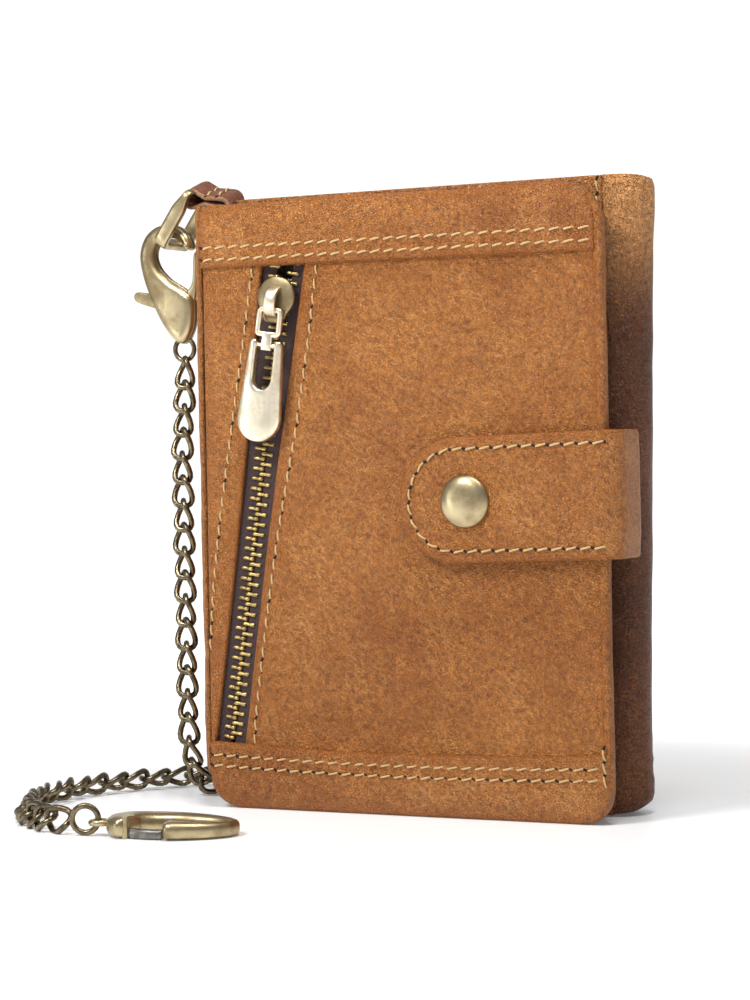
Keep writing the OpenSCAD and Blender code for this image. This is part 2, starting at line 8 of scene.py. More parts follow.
import bmesh
import bpy
import numpy as np
from mathutils import Matrix, Vector, noise
from mathutils.geometry import delaunay_2d_cdt
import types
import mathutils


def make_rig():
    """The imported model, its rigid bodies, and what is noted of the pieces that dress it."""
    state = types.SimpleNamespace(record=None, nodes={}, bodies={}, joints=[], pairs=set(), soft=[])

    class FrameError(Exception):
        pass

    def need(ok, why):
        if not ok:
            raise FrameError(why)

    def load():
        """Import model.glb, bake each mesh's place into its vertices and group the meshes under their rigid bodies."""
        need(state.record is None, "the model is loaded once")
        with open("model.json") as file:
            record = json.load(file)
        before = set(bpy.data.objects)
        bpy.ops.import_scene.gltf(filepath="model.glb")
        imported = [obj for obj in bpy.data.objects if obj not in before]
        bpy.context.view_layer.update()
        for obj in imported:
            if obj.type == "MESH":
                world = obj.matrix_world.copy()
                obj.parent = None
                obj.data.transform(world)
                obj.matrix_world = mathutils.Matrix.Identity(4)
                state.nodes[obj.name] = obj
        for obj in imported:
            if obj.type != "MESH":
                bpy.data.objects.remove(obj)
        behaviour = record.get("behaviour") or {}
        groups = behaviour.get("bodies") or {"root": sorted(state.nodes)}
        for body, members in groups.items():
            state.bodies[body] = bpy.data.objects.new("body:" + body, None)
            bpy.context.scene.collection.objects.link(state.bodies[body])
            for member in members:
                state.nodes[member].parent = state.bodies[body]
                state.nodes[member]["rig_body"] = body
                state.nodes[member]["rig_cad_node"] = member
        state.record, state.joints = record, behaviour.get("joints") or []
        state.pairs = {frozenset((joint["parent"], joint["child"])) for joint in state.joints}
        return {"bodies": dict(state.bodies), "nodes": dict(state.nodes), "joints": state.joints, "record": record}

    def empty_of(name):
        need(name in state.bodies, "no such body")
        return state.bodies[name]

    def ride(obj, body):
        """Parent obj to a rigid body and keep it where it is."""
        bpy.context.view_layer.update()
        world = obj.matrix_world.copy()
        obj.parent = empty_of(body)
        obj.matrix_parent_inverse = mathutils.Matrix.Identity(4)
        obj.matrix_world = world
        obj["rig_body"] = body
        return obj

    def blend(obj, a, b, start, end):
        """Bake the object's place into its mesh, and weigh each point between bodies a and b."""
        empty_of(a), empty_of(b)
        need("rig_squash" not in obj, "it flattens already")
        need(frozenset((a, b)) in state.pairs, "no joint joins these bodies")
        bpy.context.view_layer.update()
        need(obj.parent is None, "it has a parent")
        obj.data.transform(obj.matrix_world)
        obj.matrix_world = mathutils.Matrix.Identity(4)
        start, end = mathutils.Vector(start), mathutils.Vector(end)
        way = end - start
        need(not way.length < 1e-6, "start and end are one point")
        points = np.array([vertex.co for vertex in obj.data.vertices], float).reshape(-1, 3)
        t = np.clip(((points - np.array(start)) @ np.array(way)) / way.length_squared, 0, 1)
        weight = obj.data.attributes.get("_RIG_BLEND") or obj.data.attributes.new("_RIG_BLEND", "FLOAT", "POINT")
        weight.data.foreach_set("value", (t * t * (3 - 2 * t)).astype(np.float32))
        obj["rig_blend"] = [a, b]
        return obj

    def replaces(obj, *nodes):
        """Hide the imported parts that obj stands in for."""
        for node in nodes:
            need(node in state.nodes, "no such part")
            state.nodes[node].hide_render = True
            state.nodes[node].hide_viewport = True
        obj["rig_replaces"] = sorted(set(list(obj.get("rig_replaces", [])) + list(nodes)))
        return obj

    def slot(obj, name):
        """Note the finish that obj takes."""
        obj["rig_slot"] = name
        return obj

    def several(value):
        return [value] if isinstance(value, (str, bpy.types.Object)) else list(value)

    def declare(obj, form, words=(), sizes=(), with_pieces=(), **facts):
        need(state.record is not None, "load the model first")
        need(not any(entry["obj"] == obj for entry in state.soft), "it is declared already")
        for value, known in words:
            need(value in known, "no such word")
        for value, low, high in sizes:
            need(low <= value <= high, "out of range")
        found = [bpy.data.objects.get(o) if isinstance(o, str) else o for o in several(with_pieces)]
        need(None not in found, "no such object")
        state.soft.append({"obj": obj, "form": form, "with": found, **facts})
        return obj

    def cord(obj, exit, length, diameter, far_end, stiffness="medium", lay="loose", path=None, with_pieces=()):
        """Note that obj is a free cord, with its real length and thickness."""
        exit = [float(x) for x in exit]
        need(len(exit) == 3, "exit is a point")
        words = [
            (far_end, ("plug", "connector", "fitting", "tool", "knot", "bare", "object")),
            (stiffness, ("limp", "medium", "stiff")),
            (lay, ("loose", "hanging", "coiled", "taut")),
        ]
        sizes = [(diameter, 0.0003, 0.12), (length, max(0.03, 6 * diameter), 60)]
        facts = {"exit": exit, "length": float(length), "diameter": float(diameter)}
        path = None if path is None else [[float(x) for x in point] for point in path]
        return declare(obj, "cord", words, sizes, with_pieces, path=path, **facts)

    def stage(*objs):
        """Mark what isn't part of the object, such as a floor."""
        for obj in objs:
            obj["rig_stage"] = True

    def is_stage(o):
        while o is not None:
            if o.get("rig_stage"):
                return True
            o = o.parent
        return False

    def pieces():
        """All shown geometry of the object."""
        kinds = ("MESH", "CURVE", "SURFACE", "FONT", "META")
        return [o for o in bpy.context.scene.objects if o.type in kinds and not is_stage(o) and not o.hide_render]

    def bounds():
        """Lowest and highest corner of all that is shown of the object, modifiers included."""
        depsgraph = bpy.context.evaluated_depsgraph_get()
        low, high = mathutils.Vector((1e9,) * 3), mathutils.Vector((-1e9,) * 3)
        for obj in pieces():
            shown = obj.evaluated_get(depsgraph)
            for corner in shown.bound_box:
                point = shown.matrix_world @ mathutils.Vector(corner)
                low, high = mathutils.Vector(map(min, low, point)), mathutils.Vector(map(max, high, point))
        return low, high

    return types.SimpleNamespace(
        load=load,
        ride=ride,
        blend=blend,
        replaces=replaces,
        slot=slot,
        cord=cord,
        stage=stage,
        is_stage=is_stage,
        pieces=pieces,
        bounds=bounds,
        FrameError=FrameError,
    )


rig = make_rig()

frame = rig.load()
nodes = frame["nodes"]
cad_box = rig.bounds()
MM = 0.001

# ---- Sizes shared with the frame, in mm ----

HALF_W = 44.0          # half of the CAD flap's width
FLAP_H = 120.0
BACK_H = 122.0
FRONT = -12.0          # front face of the pocket panel
BACK = 12.0            # back face of the wallet
HIDE = 1.2             # thickness of the leather
BAND_H = 13.2
BAND_FRONT = -12.8     # front face of the bands
BAND_DEPTH = 3.4       # from the bands' front face back into the flap
FLAP_RIGHT = 41.6      # where panel and bands end, short of the turned edge
INNER = -0.6           # front face of the back section
EDGE_X = 38.7          # centre of the back section's rounded right edge
EDGE_R = 6.3
SPINE_X = -44.3
ZIP_X, ZIP_Z = -24.7, 106.8
ZIP_SLANT = math.radians(8.6)
ZIP_LEN = (ZIP_Z - BAND_H) / math.cos(ZIP_SLANT)
STRAP_Z, STRAP_W, STRAP_TIP = 60.5, 24.0, 1.2
SNAP_X = 15.5
CLASP_Y = -1.4
CLIP_AT, CLIP_TURN = (-28.6, -50.0), math.radians(20)


# ---- Camera ----

CAMERA_TURN, CAMERA_TILT, CAMERA_ROLL = math.radians(27.759), math.radians(1.069), math.radians(-1.178)
CAMERA_AIM = (-0.011403, 0, 0.060662)     # in metres
CAMERA_AWAY = 0.539936                    # in metres
CAMERA_LENS = 130.97


def make_camera():
    turn, tilt, roll = CAMERA_TURN, CAMERA_TILT, CAMERA_ROLL
    look = Vector((-math.sin(turn) * math.cos(tilt), math.cos(turn) * math.cos(tilt), -math.sin(tilt)))
    right = Vector((math.cos(turn), math.sin(turn), 0))
    up = right.cross(look)
    side = right * math.cos(roll) + up * math.sin(roll)
    top = up * math.cos(roll) - right * math.sin(roll)
    place = Vector(CAMERA_AIM) - look * CAMERA_AWAY
    data = bpy.data.cameras.new("camera")
    data.sensor_fit = "HORIZONTAL"
    data.sensor_width = 36
    data.lens = CAMERA_LENS
    camera = bpy.data.objects.new("camera", data)
    bpy.context.scene.collection.objects.link(camera)
    turned = Matrix((side, top, -look)).transposed().to_4x4()
    camera.matrix_world = Matrix.Translation(place) @ turned
    bpy.context.scene.camera = camera


make_camera()


# ---- Materials ----

class Nodes:
    """Short way to add and join shader nodes of one material."""

    def __init__(self, name):
        self.material = bpy.data.materials.new(name)
        self.material.use_nodes = True
        self.tree = self.material.node_tree
        self.shader = self.tree.nodes["Principled BSDF"]
        self.place = self.add("ShaderNodeTexCoord").outputs["Object"]

    def add(self, kind, **settings):
        node = self.tree.nodes.new(kind)
        for key, value in settings.items():
            setattr(node, key, value)
        return node

    def join(self, source, target):
        self.tree.links.new(source, target)

    def feed(self, socket, value):
        """Gives a socket a number, a colour or another node's output."""
        if isinstance(value, (int, float)):
            socket.default_value = value
        elif isinstance(value, tuple):
            socket.default_value = (*value, 1)
        else:
            self.join(value, socket)

    def mapped(self, source, setting, value):
        """Coordinates turned or stretched by a mapping node."""
        mapping = self.add("ShaderNodeMapping")
        mapping.inputs[setting].default_value = value
        self.join(source, mapping.inputs["Vector"])
        return mapping.outputs["Vector"]

    def smooth_step(self, source, low, high, to_low=0.0, to_high=1.0):
        node = self.add("ShaderNodeMapRange", interpolation_type="SMOOTHSTEP")
        limits = {"From Min": low, "From Max": high, "To Min": to_low, "To Max": to_high}
        for key, value in limits.items():
            node.inputs[key].default_value = value
        self.join(source, node.inputs["Value"])
        return node.outputs["Result"]

    def texture(self, kind, scale, stretch=None, turn=0.0, **inputs):
        node = self.add(kind)
        node.inputs["Scale"].default_value = scale
        for key, value in inputs.items():
            node.inputs[key].default_value = value
        source = self.place
        if turn:
            source = self.mapped(source, "Rotation", (0, turn, 0))
        if stretch:
            source = self.mapped(source, "Scale", stretch)
        self.join(source, node.inputs["Vector"])
        return node

    def ramp(self, source, stops):
        node = self.add("ShaderNodeValToRGB")
        bar = node.color_ramp
        while len(bar.elements) < len(stops):
            bar.elements.new(0.5)
        for element, (place, colour) in zip(bar.elements, stops):
            element.position = place
            element.color = (*colour, 1)
        self.join(source, node.inputs["Fac"])
        return node.outputs["Color"]

    def mix(self, factor, a, b, mode="MIX"):
        node = self.add("ShaderNodeMix", data_type="RGBA", blend_type=mode)
        for socket, value in ((0, factor), (6, a), (7, b)):
            self.feed(node.inputs[socket], value)
        return node.outputs[2]

    def math(self, operation, a, b=0.0):
        node = self.add("ShaderNodeMath", operation=operation)
        self.feed(node.inputs[0], a)
        self.feed(node.inputs[1], b)
        return node.outputs[0]

    def bump(self, height, distance, strength=1.0, below=None):
        node = self.add("ShaderNodeBump")
        node.inputs["Distance"].default_value = distance
        node.inputs["Strength"].default_value = strength
        self.join(height, node.inputs["Height"])
        if below:
            self.join(below, node.inputs["Normal"])
        return node.outputs["Normal"]

    def set(self, **inputs):
        for key, value in inputs.items():
            self.feed(self.shader.inputs[key.replace("_", " ")], value)
        return self.material


def grey(value):
    return (value,) * 3


def leather(name, base, deep, light, grain=1.0, gloss=0.4, top=None):
    """Pull-up leather: cloudy tone, fine pebbles with painted glints, creases, and darker worked edges. top is a
    painted highlight: the lighter tone that a part takes towards the wallet's upper end, where light reaches over the
    flap."""
    n = Nodes(name)
    clouds = n.texture("ShaderNodeTexNoise", 38, Detail=4.0, Roughness=0.55)
    tone = n.ramp(clouds.outputs["Fac"], [(0.3, deep), (0.52, base), (0.75, light)])
    cells = n.texture("ShaderNodeTexVoronoi", 1700, (1.0, 1.0, 1.25), Randomness=1.0)
    cells.feature = "DISTANCE_TO_EDGE"
    pores = n.ramp(cells.outputs["Distance"], [(0.0, grey(0)), (0.2, grey(1))])
    fine = n.texture("ShaderNodeTexNoise", 1150, Detail=4.0, Roughness=0.75, Distortion=0.6)
    # Fine grain: its darker end is the pebbles' own tone, and its bright bluish end is a painted glint of light on the
    # pebbles.
    grain_and_glint = n.ramp(fine.outputs["Fac"],
                   [(0.34, (0.42, 0.34, 0.24)), (0.5, (0.98, 0.96, 0.92)), (0.64, (1.4, 1.5, 1.8))])
    marked = n.mix(0.22, tone, pores, "MULTIPLY")
    marked = n.mix(0.8, marked, grain_and_glint, "MULTIPLY")
    creases = n.texture("ShaderNodeTexNoise", 430, (0.75, 1.0, 1.7), -0.65, Detail=3.0, Roughness=0.55,
                        Distortion=0.35)
    ridge = n.math("ABSOLUTE", n.math("SUBTRACT", creases.outputs["Fac"], 0.5))
    line = n.ramp(ridge, [(0.0, grey(1)), (0.016, grey(0.5)), (0.04, grey(0))])
    where = n.texture("ShaderNodeTexNoise", 75, Detail=2.0)
    patch = n.ramp(where.outputs["Fac"], [(0.4, grey(0.3)), (0.65, grey(1))])
    shine = n.math("MULTIPLY", n.math("MULTIPLY", line, patch), 0.42)
    marked = n.mix(shine, marked, (min(1, light[0] * 1.7), light[1] * 2.4, light[2] * 4))
    edge = n.add("ShaderNodeAttribute", attribute_name="edge")
    worked = n.mix(n.math("MULTIPLY", edge.outputs["Fac"], 0.5), marked, deep)
    # Painted highlight: from about 92 to 117 mm up, the tone turns to top, standing in for light that reaches over the
    # flap.
    if top:
        place = n.add("ShaderNodeSeparateXYZ")
        n.join(n.place, place.inputs["Vector"])
        high = n.smooth_step(place.outputs["Z"], 0.092, 0.117)
        worked = n.mix(high, worked, n.mix(0.8, top, grain_and_glint, "MULTIPLY"))
    dull = n.ramp(clouds.outputs["Fac"], [(0.3, grey(gloss + 0.1)), (0.7, grey(gloss - 0.04))])
    low = n.bump(creases.outputs["Fac"], 0.0006 * grain, 0.6)
    mid = n.bump(pores, 0.00022 * grain, 0.9, low)
    high = n.bump(fine.outputs["Fac"], 0.0003 * grain, 0.9, mid)
    return n.set(Base_Color=worked, Roughness=dull, Normal=high, Specular_IOR_Level=0.42)


def cloth(name, colour, light, scale, twill=0.0):
    """Woven cloth or tape: two crossed waves of yarn."""
    n = Nodes(name)
    warp = n.texture("ShaderNodeTexWave", scale, (1.0, 1.0, 0.45 + twill), Distortion=0.6)
    weft = n.texture("ShaderNodeTexWave", scale * 0.9, (0.45, 1.0, -1.0), Distortion=0.6)
    warp.bands_direction = "DIAGONAL"
    weft.bands_direction = "DIAGONAL"
    yarn = n.mix(0.5, warp.outputs["Color"], weft.outputs["Color"])
    dust = n.texture("ShaderNodeTexNoise", 420, Detail=4.0)
    tone = n.ramp(yarn, [(0.25, colour), (0.85, light)])
    tone = n.mix(n.math("MULTIPLY", dust.outputs["Fac"], 0.5), tone, colour)
    return n.set(Base_Color=tone, Roughness=0.85, Sheen_Weight=0.25, Normal=n.bump(yarn, 0.00018, 0.8))


def metal(name, bright, dark, rough, wear, scale=240):
    """Antique brass: bright rubbed faces, dark patches of patina, and fine scratches."""
    n = Nodes(name)
    patina = n.texture("ShaderNodeTexNoise", scale, Detail=6.0, Roughness=0.65)
    tone = n.ramp(patina.outputs["Fac"], [(0.5 - wear * 0.35, dark), (0.5 + wear * 0.12, bright)])
    scratch = n.texture("ShaderNodeTexNoise", 1500, (1.0, 1.0, 0.15), Detail=3.0)
    dull = n.ramp(patina.outputs["Fac"], [(0.3, grey(rough + 0.22)), (0.6, grey(rough))])
    return n.set(Base_Color=tone, Metallic=1.0, Roughness=dull,
                 Normal=n.bump(scratch.outputs["Fac"], 0.00003, 0.6))


def thread(name, colour, light):
    """Waxed thread: two twisted plies."""
    n = Nodes(name)
    plies = n.texture("ShaderNodeTexWave", 1900, Distortion=0.4)
    plies.bands_direction = "DIAGONAL"
    tone = n.ramp(plies.outputs["Fac"], [(0.2, colour), (0.8, light)])
    return n.set(Base_Color=tone, Roughness=0.55, Normal=n.bump(plies.outputs["Fac"], 0.00012, 0.7))


def plain(name, colour, rough):
    n = Nodes(name)
    mottle = n.texture("ShaderNodeTexNoise", 900, Detail=3.0)
    tone = n.ramp(mottle.outputs["Fac"], [(0.3, tuple(c * 0.7 for c in colour)), (0.7, colour)])
    return n.set(Base_Color=tone, Roughness=rough)


def clear_film():
    n = Nodes("film")
    haze = n.texture("ShaderNodeTexNoise", 60, Detail=3.0)
    dull = n.ramp(haze.outputs["Fac"], [(0.3, grey(0.08)), (0.7, grey(0.16))])
    return n.set(Base_Color=(0.9, 0.92, 0.92), Roughness=dull, Alpha=0.22)


# Each leather has its middle, deep and light tones.
HIDE_MAT = leather("hide", (0.42, 0.142, 0.02), (0.34, 0.1, 0.01), (0.49, 0.178, 0.032), gloss=0.36)
BAND_MAT = leather("hide_band", (0.43, 0.147, 0.022), (0.33, 0.098, 0.011), (0.51, 0.19, 0.038), gloss=0.33)
# hide_back's top tone is a painted highlight on the upper end of the inner parts, where light reaches over the flap.
BACK_MAT = leather("hide_back", (0.33, 0.1, 0.015), (0.24, 0.066, 0.008), (0.39, 0.125, 0.022), 1.5,
                   top=(0.5, 0.19, 0.045))
# Painted shade: hide_edge's dark tones stand in for the shade in the crevice behind the flap, and its top tone is a
# painted highlight at its upper end.
EDGE_SHADE_AND_HIGHLIGHT_MAT = leather("hide_edge", (0.19, 0.052, 0.008), (0.12, 0.032, 0.005), (0.24, 0.072, 0.013), 2.2, 0.32,
                   top=(0.74, 0.33, 0.1))
DARK_MAT = leather("hide_dark", (0.13, 0.05, 0.028), (0.07, 0.027, 0.016), (0.2, 0.085, 0.05), 0.7)
LOOP_MAT = leather("hide_loop", (0.21, 0.07, 0.03), (0.13, 0.04, 0.018), (0.27, 0.1, 0.045), 0.6)
CUT_MAT = leather("hide_cut", (0.42, 0.22, 0.11), (0.3, 0.13, 0.06), (0.5, 0.3, 0.17), 0.4, 0.6)
CLOTH_MAT = cloth("cloth", (0.045, 0.028, 0.02), (0.12, 0.08, 0.058), 900)
TAPE_MAT = cloth("tape", (0.022, 0.0085, 0.0095), (0.085, 0.038, 0.04), 1500, 0.3)
BRASS_MAT = metal("brass", (0.5, 0.41, 0.245), (0.27, 0.205, 0.11), 0.28, 0.36, 110)
PULL_MAT = metal("pull_brass", (0.86, 0.77, 0.6), (0.62, 0.52, 0.37), 0.28, 0.3, 180)
CHAIN_MAT = metal("chain_brass", (0.23, 0.185, 0.115), (0.06, 0.046, 0.028), 0.24, 0.5, 500)
TEETH_MAT = metal("teeth_brass", (0.62, 0.47, 0.2), (0.2, 0.13, 0.05), 0.32, 0.5, 700)
STEEL_MAT = metal("steel", (0.3, 0.29, 0.27), (0.14, 0.13, 0.12), 0.3, 0.4)
THREAD_MAT = thread("thread", (0.5, 0.3, 0.1), (0.88, 0.66, 0.36))
# Needle holes are near-black discs: painted shade inside each hole.
HOLE_SHADE_MAT = plain("needle_hole", (0.022, 0.008, 0.004), 0.9)
FILM_MAT = clear_film()


# ---- Mesh tools ----

def mesh_object(name, points, faces, material, body=None, slot=None, edge=None, stands_for=None):
    """Object from points in mm. edge is how worked each point is, from 0 to 1, and stands_for is the CAD
    node that the object replaces."""
    data = bpy.data.meshes.new(name)
    data.from_pydata([Vector(p) * MM for p in points], [], faces)
    data.validate()
    data.polygons.foreach_set("use_smooth", [True] * len(data.polygons))
    if edge is not None:
        layer = data.attributes.new("edge", "FLOAT", "POINT")
        layer.data.foreach_set("value", list(edge))
    data.materials.append(material)
    thing = bpy.data.objects.new(name, data)
    bpy.context.scene.collection.objects.link(thing)
    face_out(data)
    if body:
        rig.ride(thing, body)
    if slot:
        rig.slot(thing, slot)
    if stands_for:
        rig.replaces(thing, stands_for)
    return thing


def face_out(data):
    work = bmesh.new()
    work.from_mesh(data)
    bmesh.ops.recalc_face_normals(work, faces=work.faces)
    work.to_mesh(data)
    work.free()


def angles(n):
    """n equal steps of a full turn."""
    return [2 * math.pi * k / n for k in range(n)]


def between(a, b, n):
    """Faces between two rings of n points, whose first points are a and b."""
    return [(a + k, a + (k + 1) % n, b + (k + 1) % n, b + k) for k in range(n)]


def unit(rows):
    return rows / np.linalg.norm(rows, axis=1)[:, None]


def arc(cx, cz, r, a0, a1, n=8):
    """Points of an arc, from angle a0 to a1 in degrees."""
    turns = [math.radians(a0 + (a1 - a0) * i / n) for i in range(n + 1)]
    return [(cx + r * math.cos(t), cz + r * math.sin(t)) for t in turns]


def rounded(x0, z0, x1, z1, tl, tr, br, bl):
    """Rectangle with four corner radii, from the top left one clockwise."""
    return (arc(x0 + bl, z0 + bl, bl, 180, 270) + arc(x1 - br, z0 + br, br, 270, 360)
            + arc(x1 - tr, z1 - tr, tr, 0, 90) + arc(x0 + tl, z1 - tl, tl, 90, 180))


def resample(outline, step, closed=True):
    """Splits long sides, and keeps every corner."""
    points = []
    count = len(outline) if closed else len(outline) - 1
    for i in range(count):
        a, b = np.array(outline[i]), np.array(outline[(i + 1) % len(outline)])
        length = np.linalg.norm(b - a)
        if length < 1e-6:
            continue
        parts = max(1, round(length / step))
        points += [a + (b - a) * k / parts for k in range(parts)]
    if not closed:
        points.append(np.array(outline[-1]))
    return np.array(points)


def inward(points):
    """Unit normals that point into a counter-clockwise outline."""
    ahead = unit(np.roll(points, -1, 0) - points)
    behind = unit(points - np.roll(points, 1, 0))
    along = ahead + behind
    along /= np.maximum(np.linalg.norm(along, axis=1), 1e-6)[:, None]
    normal = np.stack([-along[:, 1], along[:, 0]], 1)
    miter = np.clip((normal[:, 0] * -ahead[:, 1] + normal[:, 1] * ahead[:, 0]), 0.5, 1)
    return normal / miter[:, None]


def distances(spots, outline):
    """Distance of each spot to the outline, and whether it lies inside."""
    a, b = outline, np.roll(outline, -1, 0)
    side = b - a
    best = np.full(len(spots), 1e9)
    inside = np.zeros(len(spots), bool)
    for p, q, s in zip(a, b, side):
        t = np.clip(((spots - p) @ s) / max(s @ s, 1e-12), 0, 1)
        best = np.minimum(best, np.linalg.norm(spots - (p + t[:, None] * s), axis=1))
        crosses = (p[1] > spots[:, 1]) != (q[1] > spots[:, 1])
        if s[1]:
            inside ^= crosses & (spots[:, 0] < p[0] + (spots[:, 1] - p[1]) * s[0] / s[1])
    return best, inside


def fill(outline, spacing):
    """Triangles inside an outline, with points of a grid between. Its own points come first."""
    low, high = outline.min(0), outline.max(0)
    grid = np.stack(np.meshgrid(np.arange(low[0] + spacing / 2, high[0], spacing),
                                np.arange(low[1] + spacing / 2, high[1], spacing)), -1).reshape(-1, 2)
    gap, inside = distances(grid, outline)
    grid = grid[inside & (gap > spacing * 0.55)]
    spots = np.concatenate([outline, grid])
    count = len(outline)
    border = [(i, (i + 1) % count) for i in range(count)]
    made = delaunay_2d_cdt([Vector(p) for p in spots], border, [], 1, 1e-6)
    return np.array([tuple(p) for p in made[0]]), [tuple(f) for f in made[2]], made[3]


WORN = 2.2             # how far the worked edge of a plate reaches in


def plate(name, outline, depth, place, material, body=None, slot=None, radius=0.5, relief=None,
          spacing=1.8, step=1.3, back_radius=0.15, stands_for=None):
    """Closed plate with rounded edges. place(u, v, h) gives the point at height h over its back face,
    and relief(u, v) is added to the height of its front face."""
    line = resample(outline, step)
    area = np.sum(line[:, 0] * np.roll(line[:, 1], -1) - np.roll(line[:, 0], -1) * line[:, 1])
    if area < 0:
        line = line[::-1]
    normal = inward(line)
    rings = [(back_radius, 0.0), (0.0, back_radius)]
    rings += [(radius * (1 - math.cos(math.radians(a))), depth - radius * (1 - math.sin(math.radians(a))))
              for a in (0, 30, 60, 90)]
    points, faces, edge = [], [], []
    count = len(line)

    def add(u, v, h, share, worked):
        rise = relief(u, v) * share if relief else 0.0
        points.append(place(u, v, h + rise))
        edge.append(worked)

    for inset, height in rings:
        for u, v in line + normal * inset:
            add(u, v, height, height / depth, 1.0)
    for k in range(len(rings) - 1):
        faces += between(k * count, (k + 1) * count, count)
    last = (len(rings) - 1) * count
    spots, inner, origin = fill(line + normal * radius, spacing)
    names = {}
    start = len(points)
    gap, _ = distances(spots, line)
    for k, (u, v) in enumerate(spots):
        old = [o for o in origin[k] if o < count]
        if old:
            names[k] = last + old[0]
            continue
        names[k] = start
        start += 1
        add(u, v, depth, 1.0, max(0.0, 1 - gap[k] / WORN) ** 2)
    faces += [tuple(names[k] for k in face) for face in inner]
    faces.append(tuple(range(count))[::-1])
    return mesh_object(name, points, faces, material, body, slot, edge, stands_for)


def facing_front(y_back):
    """Place for a plate that faces -Y, from the Y of its back face."""
    return lambda u, v, h: (u, y_back - h, v)


def facing_back(y_front):
    """Place for a plate that faces +Y, from the Y of its hidden face."""
    return lambda u, v, h: (u, y_front + h, v)


def sheet(name, profile, z0, z1, material, body, slot, steps, relief, stands_for):
    """Upright leather with a profile seen from above, as tall as z0(s) to z1(s) for s from 0 to 1."""
    line = resample(profile, 0.9, closed=False)
    ahead = unit(np.gradient(line, axis=0))
    out = np.stack([ahead[:, 1], -ahead[:, 0]], 1)
    count = len(line)
    points, edge, faces = [], [], []
    for side, j in ((side, j) for side in (1, -1) for j in range(steps + 1)):
        for i, (p, o) in enumerate(zip(line, out)):
            s = i / (count - 1)
            t = j / steps
            z = z0(s) + (z1(s) - z0(s)) * t
            pinch = 0.35 if j in (0, steps) or i in (0, count - 1) else 1.0
            spot = p + o * (side * HIDE / 2 * pinch + relief(s, z) - HIDE / 2)
            points.append((spot[0], spot[1], z))
            near = min(t * steps, (1 - t) * steps) * (z1(s) - z0(s)) / steps
            edge.append(max(0.0, 1 - near / 2.5) ** 2)
    size = count * (steps + 1)
    for j in range(steps):
        for i in range(count - 1):
            a = j * count + i
            faces.append((a, a + 1, a + count + 1, a + count))
            faces.append((size + a, size + a + count, size + a + count + 1, size + a + 1))
    border = (list(range(count)) + [j * count + count - 1 for j in range(1, steps + 1)]
              + [steps * count + i for i in range(count - 2, -1, -1)]
              + [j * count for j in range(steps - 1, 0, -1)])
    for k, a in enumerate(border):
        b = border[(k + 1) % len(border)]
        faces.append((a, b, size + b, size + a))
    return mesh_object(name, points, faces, material, body, slot, edge, stands_for)


def oval_section(a, b, n=12, power=1.0):
    """Points of an oval section, squarer as power falls under 1."""
    points = []
    for i in range(n):
        t = 2 * math.pi * (i + 0.5) / n
        c, s = math.cos(t), math.sin(t)
        points.append((a * math.copysign(abs(c) ** power, c), b * math.copysign(abs(s) ** power, s)))
    return points


def sweep(path, section, closed=False, up=(0, 1, 0)):
    """Points and faces of a bar along a path. section(i) gives points across: sideways, then along up."""
    path = [Vector(p) for p in path]
    count = len(path)
    points, faces = [], []
    size = len(section(0))
    for i, p in enumerate(path):
        if closed:
            ahead = path[(i + 1) % count] - path[i - 1]
        else:
            ahead = path[min(i + 1, count - 1)] - path[max(i - 1, 0)]
        ahead.normalize()
        side = ahead.cross(Vector(up)).normalized()
        over = side.cross(ahead)
        points += [p + side * a + over * b for a, b in section(i)]
    for i in range(count if closed else count - 1):
        a, b = i * size, ((i + 1) % count) * size
        faces += between(a, b, size)
    if not closed:
        faces.append(tuple(range(size))[::-1])
        faces.append(tuple((count - 1) * size + k for k in range(size)))
    return points, faces


def joined(*parts):
    """One list of points and one of faces from several (points, faces) pairs."""
    points, faces = [], []
    for some, sides in parts:
        base = len(points)
        points += list(some)
        faces += [tuple(base + k for k in face) for face in sides]
    return points, faces


def lathe(profile, place, n=48):
    """Turned shape: profile gives (radius, height) pairs, and place(x, y, h) puts it on its axis."""
    points, faces = [], []
    for r, h in profile:
        points += [place(r * math.cos(t), r * math.sin(t), h) for t in angles(n)]
    for i in range(len(profile) - 1):
        faces += between(i * n, (i + 1) * n, n)
    faces.append(tuple(range(n))[::-1])
    faces.append(tuple((len(profile) - 1) * n + k for k in range(n)))
    return points, faces


def smooth_line(points, per_side=6, closed=False):
    """Catmull-Rom curve through the points."""
    pts = [np.array(p, float) for p in points]
    count = len(pts)
    line = []
    for i in range(count if closed else count - 1):
        p = [pts[(i + k) % count] if closed else pts[min(max(i + k, 0), count - 1)] for k in (-1, 0, 1, 2)]
        for k in range(per_side):
            t = k / per_side
            line.append(0.5 * (2 * p[1] + (p[2] - p[0]) * t
                               + (2 * p[0] - 5 * p[1] + 4 * p[2] - p[3]) * t ** 2
                               + (3 * p[1] - p[0] - 3 * p[2] + p[3]) * t ** 3))
    if not closed:
        line.append(pts[-1])
    return line


def wave(u, v, size, seed=0.0):
    """Smooth noise from -1 to 1 with bumps about size mm across."""
    return noise.noise(Vector((u / size, v / size, seed)))


# ---- Chain ----

